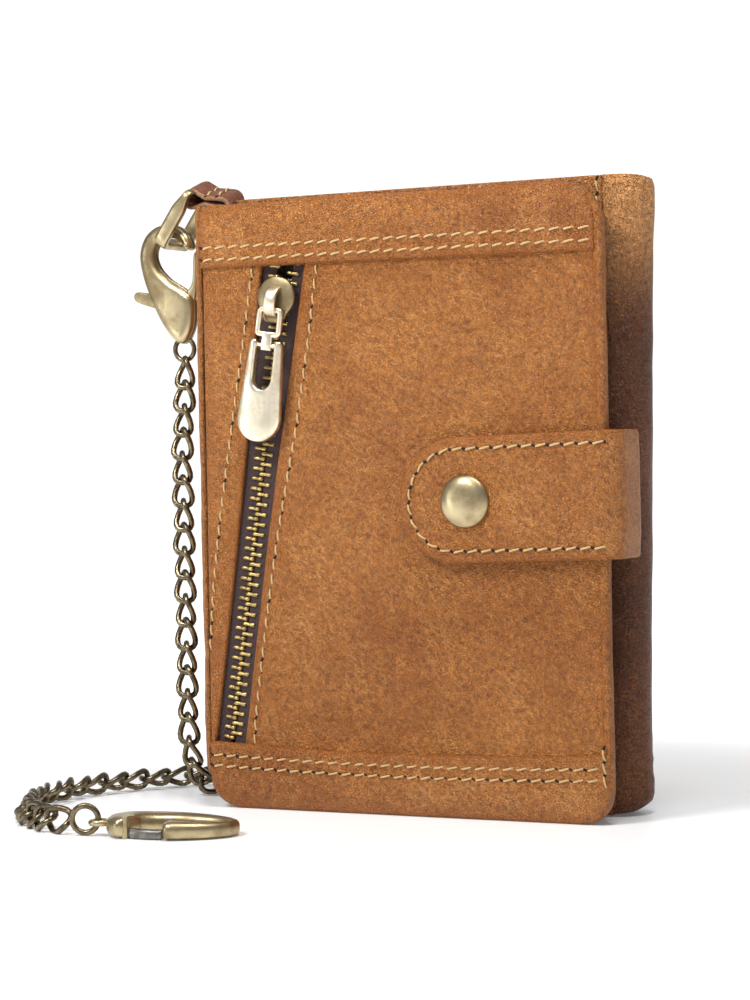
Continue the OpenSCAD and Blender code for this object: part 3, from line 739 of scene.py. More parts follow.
CHAIN_ROUTE = [
    (-53.8, -1.4, 89.8), (-53.8, -2.2, 80), (-54, -3, 70), (-54, -3, 60), (-54, -3, 50), (-54, -3, 40),
    (-54, -3, 30), (-54, -3, 20), (-54, -2.6, 12), (-53.8, -0.6, 6), (-53.6, 3, 3), (-53.2, 8, 2.4),
    (-53.4, 13, 2.4), (-55, 17, 2.4), (-59, 18, 2.4), (-64, 15, 2.4), (-69, 9, 2.4), (-73, 2, 2.4),
    (-76, -6, 2.4), (-77, -14, 2.4), (-76, -23, 2.4), (-73, -32, 2.4), (-68, -41, 2.4), (-62, -48, 2.4),
    (-55, -53, 2.4), (-48.6, -55, 2.4)]
TURN_AT = 13           # the point at which the two halves of the chain meet
CHAIN_W = 4.8          # width of the CAD chain
LINK_PITCH = 4.9
LINK_L, LINK_W, LINK_WIRE = 7.3, 5.8, 0.6
LINK_TWIST = math.radians(42)


def length_of(path):
    return sum((Vector(b) - Vector(a)).length for a, b in zip(path, path[1:]))


def at_length(path, far):
    """Point and direction at a distance along a path."""
    for a, b in zip(path, path[1:]):
        a, b = Vector(a), Vector(b)
        step = (b - a).length
        if far <= step:
            return a + (b - a) * (far / step), (b - a).normalized()
        far -= step
    return Vector(path[-1]), (Vector(path[-1]) - Vector(path[-2])).normalized()


def link(centre, ahead, flat, shift):
    """One curb link: an oval of wire whose two ends are turned against each other."""
    side = ahead.cross(flat).normalized()
    over = side.cross(ahead)
    path = []
    for t in angles(20):
        along = (LINK_L / 2 - LINK_WIRE) * math.copysign(abs(math.cos(t)) ** 0.85, math.cos(t))
        across = (LINK_W / 2 - LINK_WIRE) * math.copysign(abs(math.sin(t)) ** 0.8, math.sin(t))
        twist = shift + LINK_TWIST * along / (LINK_L / 2)
        path.append(centre + ahead * along + (side * math.cos(twist) + over * math.sin(twist)) * across)
    points, faces = [], []
    for i, p in enumerate(path):
        run = (path[(i + 1) % 20] - path[i - 1]).normalized()
        out = p - centre
        out = (out - run * out.dot(run)).normalized()
        third = run.cross(out)
        points += [p + LINK_WIRE * (out * math.cos(a) + third * math.sin(a)) for a in angles(8)]
        faces += between(i * 8, ((i + 1) % 20) * 8, 8)
    return points, faces


def make_chain(name, route, first, last, turned):
    """Links along a route, from first mm past its start to last mm before its end. Gives the piece, its
    path and its length."""
    path = [tuple(p) for p in smooth_line(route, 5)]
    total = length_of(path)
    run = total - first - last
    count = round(run / LINK_PITCH)
    parts = [link_at(path, first + run * (k + 0.5) / count, turned + (0.1 if k % 2 else -0.1))
             for k in range(count)]
    return mesh_object(name, *joined(*parts), CHAIN_MAT), path, total


def link_at(path, far, turned):
    """Link at a distance along a path, turned about it from the side that it lies on."""
    centre, ahead = at_length(path, far)
    flat = Vector((-0.35, 1, 0)) if abs(ahead.z) > 0.6 else Vector((0.15, -0.35, 1))
    return link(centre, ahead, (flat - ahead * flat.dot(ahead)).normalized(), turned)


def in_metres(path):
    return [tuple(c * MM for c in p) for p in path]


chain_upper, upper_path, upper_length = make_chain(
    "chain_hanging", CHAIN_ROUTE[:TURN_AT + 1], 0.3, 1.2, -0.72)
chain_lower, lower_path, lower_length = make_chain(
    "chain_on_floor", CHAIN_ROUTE[TURN_AT:], 1.2, 0.3, -0.9)
join_link = mesh_object("chain_join_link", *link_at(lower_path, 0.1, -0.7), CHAIN_MAT)
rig.blend(chain_upper, "clasp", "back", start=(-0.0538, -0.0014, 0.086), end=(-0.0538, -0.0014, 0.008))
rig.ride(chain_lower, "chain_end")
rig.ride(join_link, "back")
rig.slot(chain_upper, "gunmetal")
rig.slot(chain_lower, "gunmetal")
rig.replaces(chain_upper, "chain_upper")
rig.replaces(chain_lower, "chain_lower")


# ---- Surfaces of the wallet, as reliefs ----

def zip_point(across, along):
    """Point of the flap's plane from the zip's own frame: along is negative towards the lower end."""
    c, s = math.cos(ZIP_SLANT), math.sin(ZIP_SLANT)
    return (ZIP_X + across * c + along * s, ZIP_Z - across * s + along * c)


def zip_gap(along):
    """Half of the gap in the leather over the zip."""
    t = min(max(-along / ZIP_LEN, 0), 1)
    return 4.8 - 1.45 * t - 0.5 * math.sin(math.pi * t)


def dent(distance, width, depth):
    """Groove that a seam presses into the leather."""
    return -depth * math.exp(-(distance / width) ** 2)


# Seams beside the zip, from the top down, as X and Z
ZIP_SEAM_RIGHT = [(-16.9, 107.5), (-19.0, 93.6), (-22.2, 75.8), (-26.3, 57), (-29.7, 38.5), (-32.9, 18),
                  (-33.3, 12.2)]
ZIP_SEAM_LEFT = [(-31.3, 107.5), (-34.1, 91), (-37.2, 74), (-40.0, 58), (-41.9, 44), (-43.0, 31)]


def seam_distance(x, z, seam):
    """Distance to the right of a seam, at the height z."""
    for (x0, z0), (x1, z1) in zip(seam, seam[1:]):
        if z1 <= z <= z0:
            return x - (x1 + (x0 - x1) * (z - z1) / (z0 - z1))
    return 9.0


# Each relief gives how far a leather face stands out at (x, z): slow swells, stitch grooves, creases
# and a fall towards its edge.

def panel_relief(x, z):
    rise = 0.2 * wave(x, z, 32, 1.7) + 0.09 * wave(x, z, 11, 4.1) + 0.035 * wave(x, z, 4.5, 8.8) - 0.12
    rise += dent(seam_distance(x, z, ZIP_SEAM_RIGHT), 0.9, 0.16)
    fold = math.sin((z * 0.9 + x * 0.55) * 0.42 + 2 * wave(x, z, 22, 3.0))
    patch = (math.exp(-((x - 6) / 20) ** 2 - ((z - 40) / 9) ** 2)
             + math.exp(-((x - 2) / 16) ** 2 - ((z - 84) / 10) ** 2))
    rise += 0.07 * fold * patch
    side = max(0.0, (x - 36) / 6.6)
    return rise - 0.55 * side ** 2.2


def strip_relief(x, z):
    rise = 0.12 * wave(x, z, 26, 5.5) + 0.05 * wave(x, z, 8, 2.2) - 0.1
    return rise + dent(seam_distance(x, z, ZIP_SEAM_LEFT), 0.9, 0.16)


def top_row(x, k):
    """Height of the top band's stitch rows."""
    return (111.3 if k == 0 else 108.9) - 0.35 * (x + HALF_W) / (2 * HALF_W)


def low_row(x, k):
    """Height of the bottom band's stitch rows."""
    return (9.7 if k == 0 else 7.6) + 0.9 * (x / HALF_W) ** 2


def top_relief(x, z):
    rise = 0.28 * wave(x, z, 19, 7.7) + 0.1 * wave(x, z * 1.6, 6, 1.1) + 0.1
    rise += dent(z - top_row(x, 0), 0.7, 0.2) + dent(z - top_row(x, 1), 0.7, 0.2)
    crease = math.sin((x * 0.45 + (z - 113) * 0.9) * 1.5 + 3 * wave(x, z, 12, 9.0))
    where = math.exp(-((x + 26) / 9) ** 2 - ((z - 116) / 3.6) ** 2)
    rise += 0.05 * crease * where
    fold = math.exp(-((x - 26) / 11) ** 2 - ((z - 113.8 - 0.12 * (x - 26)) / 1.1) ** 2)
    rise += 0.16 * fold
    top = max(0.0, (z - 114) / 6)
    side = max(0.0, (x - 34) / 9)
    return rise - 1.25 * top ** 2.3 - 0.9 * side ** 2


def low_relief(x, z):
    rise = 0.2 * wave(x, z, 21, 3.3) + 0.07 * wave(x, z, 6, 6.1) + 0.08
    rise += dent(z - low_row(x, 0), 0.7, 0.2) + dent(z - low_row(x, 1), 0.7, 0.2)
    low = max(0.0, (4.5 - z) / 4.5)
    side = max(0.0, (x - 36) / 7)
    return rise - 0.9 * low ** 2.2 - 0.6 * side ** 2


# ---- Front flap ----

def make_flap():
    """Pocket panel, narrow strip, two bands, turned edge, base and lining."""
    right = [zip_point(zip_gap(-t), -t) for t in np.linspace(-8, ZIP_LEN + 4, 24)]
    outline = right[::-1] + [(FLAP_RIGHT, 116), (FLAP_RIGHT + 1.3, 8)]
    outline = outline[::-1]
    plate("pocket_leather", outline, HIDE, facing_front(FRONT + HIDE), HIDE_MAT, "flap", "hide",
          0.5, panel_relief, stands_for="pocket_panel")
    left = [zip_point(-zip_gap(-t), -t) for t in np.linspace(-8, ZIP_LEN + 0.5, 24)]
    outline = left + [(-43.3, 11.5), (-43.1, 60), (-42.9, 116)]
    plate("pocket_strip_leather", outline, HIDE, facing_front(FRONT + HIDE), HIDE_MAT, "flap",
          "hide", 0.5, strip_relief, stands_for="pocket_strip")
    x0, x1 = -43.1, FLAP_RIGHT
    lower = [(x, 107.3 - 0.75 * (x + HALF_W) / (x1 + HALF_W)) for x in np.linspace(x0, x1, 30)]
    upper = (arc(x1 - 7.6, FLAP_H - 7.6, 7.6, 0, 90) + [(24, 119.9), (10, 119.6), (-4, 119.9), (-14, 120.2),
                                                        (-22, 120.1), (-28, 119.6), (-36, 119.7)]
             + arc(x0 + 2, FLAP_H - 2, 2, 90, 180))
    front = facing_front(BAND_FRONT + BAND_DEPTH)
    plate("top_band_leather", lower + upper, BAND_DEPTH, front, BAND_MAT, "flap", "hide", 0.75, top_relief,
          spacing=1.3, step=1.0, stands_for="top_band")
    x1 = FLAP_RIGHT + 1.2
    edge = [(x, 11.9 + 1.3 * (x / HALF_W) ** 2) for x in np.linspace(x1, x0, 30)]
    lower = arc(x0 + 6.5, 6.5, 6.5, 180, 270) + arc(x1 - 5.8, 5.8, 5.8, 270, 360)
    plate("bottom_band_leather", lower + edge, BAND_DEPTH, front, BAND_MAT, "flap", "hide", 0.75,
          low_relief, spacing=1.3, step=1.0, stands_for="bottom_band")
    make_flap_edge()
    base = rounded(-43.4, 0.3, 40.9, FLAP_H - 0.3, 2, 8, 6, 6.5)
    plate("base_leather", base, HIDE, facing_back(-6.6), BACK_MAT, "flap", "hide", 0.45,
          spacing=4, step=2, stands_for="flap_base")
    plate("flap_lining_cloth", rounded(-43, 1, 39.8, FLAP_H - 1, 2, 8, 6, 6), 1.0,
          facing_back(-5.4), DARK_MAT, "flap", "hide_dark", 0.3, spacing=4, step=2,
          stands_for="flap_lining")


def make_flap_edge():
    """Turned edge that runs round the flap, from the lower left corner to the upper left one."""
    low, side = 0.18, 43.2
    line = ([(-36, low)] + arc(side - 6.6, 6.8, 6.6, 270, 360, 12)
            + arc(side - 9, FLAP_H - 9, 8.8, 0, 90, 12) + [(-40, FLAP_H - low)])
    line = resample(line, 1.2, closed=False)
    ahead = unit(np.gradient(line, axis=0))
    inner = np.stack([-ahead[:, 1], ahead[:, 0]], 1)
    profile = [(2.3, -10.9), (1.65, -11.5), (1.05, -11.9), (0.5, -11.8), (0.12, -11.3), (0.0, -10.6),
               (0.05, -9.9), (0.3, -9.45), (1.1, -8.6), (2.2, -7.3), (2.9, -6.62), (4.2, -6.62)]
    points, faces, edge = [], [], []
    size = len(profile)
    for k, (p, o) in enumerate(zip(line, inner)):
        ripple = 0.16 * wave(p[0], p[1], 9, 2.5) + 0.12 * wave(p[0], p[1], 28, 5.0)
        for across, y in profile:
            spot = p + o * (across + ripple * (across < 1.6))
            points.append((spot[0], y, spot[1]))
            edge.append(0.75 if y > -11.2 else 0.2)
    for k in range(len(line) - 1):
        a, b = k * size, (k + 1) * size
        faces += between(a, b, size)
    faces.append(tuple(range(size)))
    faces.append(tuple((len(line) - 1) * size + j for j in range(size))[::-1])
    mesh_object("flap_edge_leather", points, faces, HIDE_MAT, "flap", "hide", edge,
                stands_for="flap_gusset")


# ---- Back section ----

def back_relief(x, z):
    return 0.25 * wave(x, z, 30, 12.0) + 0.08 * wave(x, z, 8, 13.0) - 0.05


def make_back():
    """Inner panel, back cover, wrapped right edge and spine."""
    plate("inner_leather", rounded(-43, 0.3, 38.5, 121.7, 1, 0.3, 0.3, 1), HIDE,
          facing_front(INNER + HIDE), BACK_MAT, "back", "hide", 0.45, back_relief, spacing=2.4,
          stands_for="inner_panel")
    plate("back_leather", rounded(-43.6, 0, 31.2, BACK_H, 1, 1, 1, 1), HIDE,
          facing_back(BACK - HIDE), HIDE_MAT, "back", "hide", 0.45,
          lambda x, z: back_relief(x, z) + dent(z - 118.6, 0.8, 0.15) + dent(z - 3.4, 0.8, 0.15),
          spacing=2.2, stands_for="back_cover")
    profile = ([(38.2, INNER)] + arc(EDGE_X, BACK - EDGE_R, EDGE_R, -90, 90, 18) + [(30.9, BACK)])

    def rise(s):
        return math.exp(-((s - 0.42) / 0.16) ** 2)

    def wrap(s, z):
        bulge = 0.5 * math.exp(-((z - 4) / 6) ** 2) + 0.35 * math.exp(-((z - 117) / 7) ** 2)
        folds = 0.22 * wave(s * 28, z, 10, 21.0) + 0.1 * wave(s * 28, z * 0.6, 4, 22.0)
        near = math.exp(-((z - 9) / 5) ** 2) * 0.12 * math.sin(z * 1.6 + s * 9)
        return bulge * rise(s) + folds * min(1, 6 * s) * min(1, 6 * (1 - s)) + near * rise(s)

    # The wrapped edge in the crevice takes its painted shade, and the painted highlight at its top, from its material.
    edge = sheet("edge_leather", profile, lambda s: 0.6 + 1.9 * rise(s),
                 lambda s: BACK_H - 0.3 - 0.7 * rise(s), EDGE_SHADE_AND_HIGHLIGHT_MAT, "back", "hide", 90, wrap, "edge_wrap")
    for vertex in edge.data.vertices:
        x, z = vertex.co.x / MM, vertex.co.z / MM
        vertex.co.x += ((z - 61) / 61 * 1.35 - 0.25) * min(1, max(0, (x - 34) / 10)) * MM
    spine_front = -10.6
    half = (BACK - spine_front) / 2
    mid = (BACK + spine_front) / 2
    oval = [(SPINE_X - 6.5 * math.sin(math.radians(t)) * (1 - 0.21 * (1 - math.cos(math.radians(t)))),
             mid + half * math.cos(math.radians(t))) for t in range(0, 181, 6)]

    def spine_relief(s, z):
        return 0.25 * wave(s * 30, z, 12, 31.0) + 0.1 * wave(s * 30, z * 2.2, 5, 32.0) - 0.15

    sheet("spine_leather", [(-43.3, BACK)] + oval, lambda s: 0.3 + 6 * min(1, s / 0.4) ** 2,
          lambda s: 120.3 - 0.5 * math.sin(math.pi * s), HIDE_MAT, "back", "hide", 80, spine_relief,
          "spine")


def make_loop():
    """Leather loop: a strip that leaves the wallet, turns round the ring's bar and goes back in."""
    path = ([(-41.8, 113.5), (-41.8, 120.4)] + arc(-44.1, 120.6, 2.3, 8, 90, 5) + [(-47.4, 123.3)]
            + arc(-50.4, 123.1, 1.8, 75, 290, 14) + [(-47.6, 122.0), (-45.2, 121.3)]
            + arc(-44.9, 120.0, 1.3, 80, 5, 3) + [(-43.4, 113.5)])
    line = resample(path, 0.7, closed=False)
    points, faces = sweep([(x, 0, z) for x, z in line], lambda i: oval_section(0.58, 3.0, 16, 0.42))
    points = [p + Vector((0, 0, 0.36 * p.y * min(1, max(0, (p.z - 118) / 4)))) for p in points]
    worked = [1.0 if abs(p[1]) > 2.6 else 0.0 for p in points]
    loop = mesh_object("loop_leather", points, faces, LOOP_MAT, "back", "hide_dark", worked, "hang_loop")
    loop.data.materials.append(CUT_MAT)
    for face in loop.data.polygons:
        if abs(face.center.y) > 2.85 * MM:
            face.material_index = 1


# ---- Strap ----

STRAP_FRONT = -14.6    # outer face of the strap
STRAP_DEPTH = 2.4
STRAP_R = STRAP_W / 2
LIMB_X = 46.8          # how far to the right the strap reaches
LIMB = 44              # length of its flat front, from the tip
BEND = 4.0
TILT = 1.1             # how much higher the strap lies at its bend than at its tip
TAB_BACK = -1.0        # back face of its root in the crevice


def strap_path():
    """Outer face of the strap seen from above, from its tip to its root in the crevice."""
    front = [(STRAP_TIP, STRAP_FRONT), (LIMB_X - BEND, STRAP_FRONT)]
    turn = arc(LIMB_X - BEND, STRAP_FRONT + BEND, BEND, -90, 0, 10)
    root = arc(LIMB_X - BEND, TAB_BACK - BEND, BEND, 0, 90, 10)
    return front + turn[1:] + root + [(31.0, TAB_BACK)]


def make_strap():
    """Strap from its tip to its root, which bends as it unfolds. Gives the place for its stitches."""
    path = [Vector((x, y, 0)) for x, y in strap_path()]
    total = length_of(path)

    def place(u, v, h):
        spot, ahead = at_length(path, min(max(u, 0.0), total))
        out = Vector((ahead.y, -ahead.x, 0))
        bow = 0.35 * math.sin(math.pi * min(u / LIMB, 1)) * (1 if u < LIMB else 0)
        height = v + TILT * min(u / LIMB, 1) - 0.1
        return spot + out * (h - STRAP_DEPTH + bow * 0.3) + Vector((0, 0, height))

    def relief(u, v):
        side = 11.0 - abs(v - STRAP_Z)
        tip = math.hypot(max(0, STRAP_R - u), v - STRAP_Z)
        gap = STRAP_R - tip if u < STRAP_R else side + 1
        rise = 0.12 * wave(u, v, 15, 41.0) + 0.05 * wave(u, v, 5, 42.0)
        rise += dent(gap - 2.3, 0.7, 0.2)
        rise += dent(math.hypot(u - (SNAP_X - STRAP_TIP), v - STRAP_Z) - 5.4, 1.5, 0.18)
        return rise - 0.35 * max(0.0, 1 - gap / 2.2) ** 2

    z0, z1 = STRAP_Z - STRAP_R, STRAP_Z + STRAP_R
    outline = (arc(STRAP_R, STRAP_Z, STRAP_R, 90, 270, 30)
               + [(LIMB, z0), (56, z0), (total - 0.5, z0), (total - 0.5, z1), (56, z1), (LIMB, z1)])
    strap = plate("strap_leather", outline, STRAP_DEPTH, place, HIDE_MAT, None, "hide", 0.55, relief,
                  1.5, 1.1, 0.35)
    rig.blend(strap, "strap", "back", start=(0.0468, -0.0100, 0.0605), end=(0.0468, -0.0040, 0.0605))
    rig.replaces(strap, "strap_outer", "strap_lining", "strap_bend", "strap_tab")
    return place


# ---- Stitches ----

STITCH = 2.9           # from hole to hole
LEAN = 0.22            # how far a stitch leans off its line at its ends
THREAD_R = 0.22
SLOT_TOP, SLOT_STEP = 104, 14      # upper edge of the highest card slot, and the step down to the next
WINDOW_X, WINDOW_TOP, WINDOW_LOW = 28.6, 100.6, 13.4      # seam round the ID window


def stitch_row(line, surface):
    """Slanted stitches along a line, each sunk at its ends. surface(u, v, h) places a point h above it."""
    path = [(p[0], p[1], 0) for p in line]
    total = length_of(path)
    count = max(1, round(total / STITCH))
    threads, holes = [], []
    for k in range(count):
        mid = total * (k + 0.5) / count
        ring = []
        for s, h in ((-0.5, -0.35), (-0.4, 0.05), (-0.2, 0.24), (0.0, 0.3),
                     (0.2, 0.24), (0.4, 0.05), (0.5, -0.35)):
            spot, ahead = at_length(path, min(max(mid + s * STITCH * 0.74, 0), total))
            across = Vector((-ahead.y, ahead.x, 0))
            spot = spot + across * (LEAN * 2 * s)
            ring.append(Vector(surface(spot.x, spot.y, h)))
        threads.append(sweep(ring, lambda i: oval_section(THREAD_R, THREAD_R * 0.9, 6), up=(0.1, 0.2, 0.3)))
        # Needle hole: a dark disc just over the surface and sunk under it, painted shade for the hole.
        spot, ahead = at_length(path, total * k / count)
        across = Vector((-ahead.y, ahead.x, 0))
        rim = [spot + (ahead * (0.62 * math.cos(t)) + across * (0.3 * math.sin(t) - LEAN * math.cos(t)))
               for t in angles(8)]
        disc = [surface(p.x, p.y, 0.035) for p in rim]
        low = [surface(p.x, p.y, -0.12) for p in rim]
        holes.append((disc + low, [tuple(range(8)), tuple(range(15, 7, -1))] + between(0, 8, 8)))
    return threads, holes


def sew(name, body, rows):
    """Thread and needle holes of several rows, as two pieces on a body."""
    threads, holes = [], []
    for row in rows:
        some, more = stitch_row(*row)
        threads += some
        holes += more
    mesh_object("thread_" + name, *joined(*threads), THREAD_MAT, body, "hide")
    mesh_object("holes_" + name, *joined(*holes), HOLE_SHADE_MAT, body, "hide")


def on_front(y, relief):
    """Surface of a front face at Y y with a relief, for the stitches that lie on it."""
    return lambda u, v, h: (u, y - relief(u, v) - h, v)


def make_stitches(strap_place):
    """All the seams. strap_place is the strap's own place, from make_strap()."""
    x0, x1 = -42.6, FLAP_RIGHT - 0.5
    band = on_front(BAND_FRONT, top_relief)
    low = on_front(BAND_FRONT, low_relief)
    grid = np.linspace(x0, x1, 24)
    rows = [([(x, top_row(x, k)) for x in grid], band) for k in (0, 1)]
    rows += [([(x, low_row(x, k)) for x in grid], low) for k in (0, 1)]
    rows.append(([(41.9, 14.4), (42.0, 7)], low))
    rows.append((ZIP_SEAM_RIGHT, on_front(FRONT, panel_relief)))
    rows.append((ZIP_SEAM_LEFT, on_front(FRONT, strip_relief)))
    sew("flap", "flap", rows)

    def on_strap(u, v, h):
        return strap_place(u, v, 2.3 + h)

    r = STRAP_R - 2.3
    line = [(43, STRAP_Z + r)] + arc(STRAP_R, STRAP_Z, r, 90, 270, 24) + [(43, STRAP_Z - r)]
    sew("strap", "strap", [(line, on_strap)])

    def on_cover(u, v, h):
        return (u, BACK + back_relief(u, v) + h, v)

    def on_wrap(u, v, h):
        return (u, BACK + 0.05 + h, v)

    def on_inner(u, v, h):
        return (u, INNER - back_relief(u, v) - h, v)

    rows = [([(-42, 118.6), (30, 118.6)], on_cover), ([(-42, 3.4), (30, 3.4)], on_cover),
            ([(32.6, 120.5), (32.6, 1.5)], on_wrap), ([(37.6, 121), (37.6, 75)], on_inner)]
    for k in range(3):
        def on_slot(u, v, h, y=INNER + -0.6 * (k + 1)):
            return (u, y - h, v)
        seam = SLOT_TOP - SLOT_STEP * k - 1.6
        rows.append(([(-38.3, seam), (24.7, seam)], on_slot))
    sew("back", "back", rows)

    def on_lining(u, v, h):
        return (u, -3.6 + h, v)

    around = [(-WINDOW_X, WINDOW_TOP), (WINDOW_X, WINDOW_TOP), (WINDOW_X, WINDOW_LOW),
              (-WINDOW_X, WINDOW_LOW), (-WINDOW_X, WINDOW_TOP)]
    sew("window", "flap", [(around, on_lining)])

    def on_loop(u, v, h):
        return (u, v, 123.55 + 0.36 * v - 0.09 * (u + 45) + h)

    sew("loop", "back", [([(x, -2.6), (x, 2.6)], on_loop) for x in (-47.2, -44.6)])


# ---- Zip ----

def tape_place(y):
    """Place in the zip's own frame for a plate with its back face at Y y."""
    def place(u, v, h):
        x, z = zip_point(u, v)
        return (x, y - h, z)
    return place


def part(along):
    """How far each row has moved out above the slider."""
    return 1.3 * min(1, max(0.0, (along + 9) / 6))


def make_zip():
    """Two tapes, each with its row of teeth. The rows are closed below the slider and open above it."""
    for side, word in ((-1, "left"), (1, "right")):
        inner = [(side * (part(t) + 0.5), t) for t in np.linspace(2, -ZIP_LEN - 3, 40)]
        out = 7.0 if side > 0 else 6.2
        if side > 0:
            outline = inner + [(out, -ZIP_LEN - 3), (out, 2)]
        else:
            outline = inner + [(-4.3, -ZIP_LEN - 3), (-5.0, -60), (-out, -30), (-out, 2)]
        plate("tape_" + word, outline, 0.5, tape_place(-10.2), TAPE_MAT, "flap", "tape", 0.15,
              lambda u, v: 0.08 * wave(u, v, 9, 51.0), 1.6, 1.6, 0.1, stands_for="zip_tape_" + word)
        teeth = []
        count = math.floor((ZIP_LEN + 2) / 2)
        for k in range(count):
            z = 1 - (k + (0 if side > 0 else 0.5)) * 2
            teeth.append(tooth(side, part(z), z))
        mesh_object("teeth_" + word, *joined(*teeth),
                    TEETH_MAT, "flap", "teeth", stands_for="zip_teeth_" + word)


def tooth(side, shift, along):
    """Stamped tooth: a low roof with a raised head at the middle of the zip and a leg over the tape."""
    rows = [(-0.45, 0.3, 0.35), (-0.25, 0.44, 0.62), (0.25, 0.47, 0.72), (0.6, 0.38, 0.42),
            (0.95, 0.36, 0.4), (1.6, 0.43, 0.52), (2.0, 0.4, 0.42), (2.15, 0.3, 0.2)]
    points, faces = [], []
    for across, half, rise in rows:
        for dz, dy in ((-half, 0.25), (-half * 0.8, -0.5 * rise), (0, -rise), (half * 0.8, -0.5 * rise),
                       (half, 0.25), (half, 1.2), (-half, 1.2)):
            x, z = zip_point(side * (across + shift), along + dz)
            points.append((x, -10.85 + dy, z))
    for i in range(len(rows) - 1):
        faces += between(i * 7, (i + 1) * 7, 7)
    faces += [tuple(range(7))[::-1], tuple((len(rows) - 1) * 7 + j for j in range(7))]
    return points, faces


# Places along the zip count down from its upper end.
PLATE_FRONT = -13.3    # front of the slider's upper plate
SLIDER_AT = -6.6
LINK_Y = -14.4         # plane that the link and the tab lie in
LINK_BAR = -8.75       # link's bar under the slider's arch
TAB_PIN = -15.55       # link's lower pin, which carries the tab


def make_slider():
    """Upper and lower plates, the wedge between them, and the arch that holds the link."""
    head = arc(0, -6.0, 4.1, -32, 212, 30)
    tail = [(-2.9, -9.0), (-2.5, -10.0), (-2.0, -10.8), (-1.3, -11.1), (1.3, -11.1), (2.0, -10.8),
            (2.5, -10.0), (2.9, -9.0)]

    def dome(u, v):
        r2 = (u / 4.1) ** 2 + ((v - SLIDER_AT) / 4.6) ** 2
        return 0.38 * max(0.0, 1 - r2) - 0.15 * r2

    plate("slider_plate", head + tail, 0.95, tape_place(-12.4), BRASS_MAT, "slider", "brass", 0.35,
          dome, 0.6, 0.5, 0.1, stands_for="slider_body")
    under = [(-2.9, -11.1), (2.9, -11.1), (3.1, -2.1), (-3.1, -2.1)]
    plate("slider_under", under, 0.6, tape_place(-8.5), BRASS_MAT, "slider", "brass", 0.2, None, 1.5, 1)
    wedge = [(0, -5.1), (0.7, -2.9), (0, -2.2), (-0.7, -2.9)]
    plate("slider_wedge", wedge, 3.6, tape_place(-9.0), BRASS_MAT, "slider", "brass", 0.1, None, 1, 1)
    bow = [(PLATE_FRONT - 2.15 * math.sin(math.radians(t)), -7.0 + 2.75 * math.cos(math.radians(t)))
           for t in range(15, 180, 11)]
    line = []
    for y, along in [(PLATE_FRONT + 0.4, -4.2)] + bow + [(PLATE_FRONT + 0.4, -9.85)]:
        x, z = zip_point(0, along)
        line.append((x, y, z))
    mesh_object("slider_arch", *sweep(line, lambda i: oval_section(0.42, 1.3, 12, 0.5),
                                      up=(math.cos(ZIP_SLANT), 0, -math.sin(ZIP_SLANT))),
                PULL_MAT, "slider", "brass", stands_for="slider_bridge")


def make_pull():
    """Square link with a stem and a pin, and the tab whose slot goes round the stem."""
    def spot(u, v):
        x, z = zip_point(u, v)
        return (x, LINK_Y, z)

    low = LINK_BAR - 5.2
    loop = arc(1.75, LINK_BAR - 0.35, 0.55, 0, 90, 4) + arc(-1.75, LINK_BAR - 0.35, 0.55, 90, 180, 4)
    loop += arc(-1.85, low + 1.1, 0.5, 180, 270, 4) + arc(1.85, low + 1.1, 0.5, 270, 360, 4)
    loop = resample(loop, 0.5)
    frame_bar = sweep([spot(*p) for p in loop], lambda i: oval_section(0.55, 0.55, 12, 0.55), True)
    outline = [(-1.15, low + 1), (-1.15, TAB_PIN - 1.0), (1.15, TAB_PIN - 1.0), (1.15, low + 1)]
    pin = sweep([spot(-3.5, TAB_PIN), spot(-1.2, TAB_PIN), spot(1.2, TAB_PIN), spot(3.5, TAB_PIN)],
                lambda i: oval_section(0.48, 0.48, 12))
    mesh_object("pull_link_bar", *joined(frame_bar, pin), PULL_MAT, "pull_link", "brass",
                stands_for="pull_link")
    plate("pull_link_stem", outline, 1.1, tape_place(LINK_Y + 0.55), PULL_MAT, "pull_link", "brass", 0.25,
          None, 0.8, 0.5, 0.25)
    top = TAB_PIN + 1
    tab_length, slot_length = 20, 9.6
    low_r, slot_r = 4.75, 2.05       # radii of the lower ends of the tab and its slot
    centre = top - tab_length + low_r
    slot_low = top - slot_length + slot_r
    outer = arc(0, centre, low_r, 172, 368, 40)
    right = [(3.55, top - 0.6), (3.2, top), (2.35, top), (slot_r, top - 0.6)]
    slot = arc(0, slot_low, slot_r, 0, -180, 20)
    left = [(-u, v) for u, v in right[::-1]]

    def crown(u, v):
        return 0.22 - 0.5 * (abs(u) / low_r) ** 3 - 0.25 * max(0.0, (centre - v) / low_r) ** 3

    plate("pull_tab_plate", outer + right + slot + left, 1.6, tape_place(LINK_Y + 0.8), PULL_MAT,
          "pull_tab", "brass", 0.4, crown, 0.6, 0.55, 0.3, stands_for="pull_tab")


# ---- Snap, ring and clasps ----

def make_snap():
    profile = [(0.01, -0.6), (4.9, -0.05), (5.05, 0.25), (5.0, 0.6), (4.7, 0.95), (4.1, 1.3), (3.3, 1.6),
               (2.3, 1.8), (1.2, 1.9), (0.01, 1.93)]

    def place(x, y, h):
        return (SNAP_X + x, STRAP_FRONT - h, STRAP_Z + y)

    mesh_object("snap_dome", *lathe(profile, place, 64), BRASS_MAT, "strap", "brass", stands_for="snap_cap")


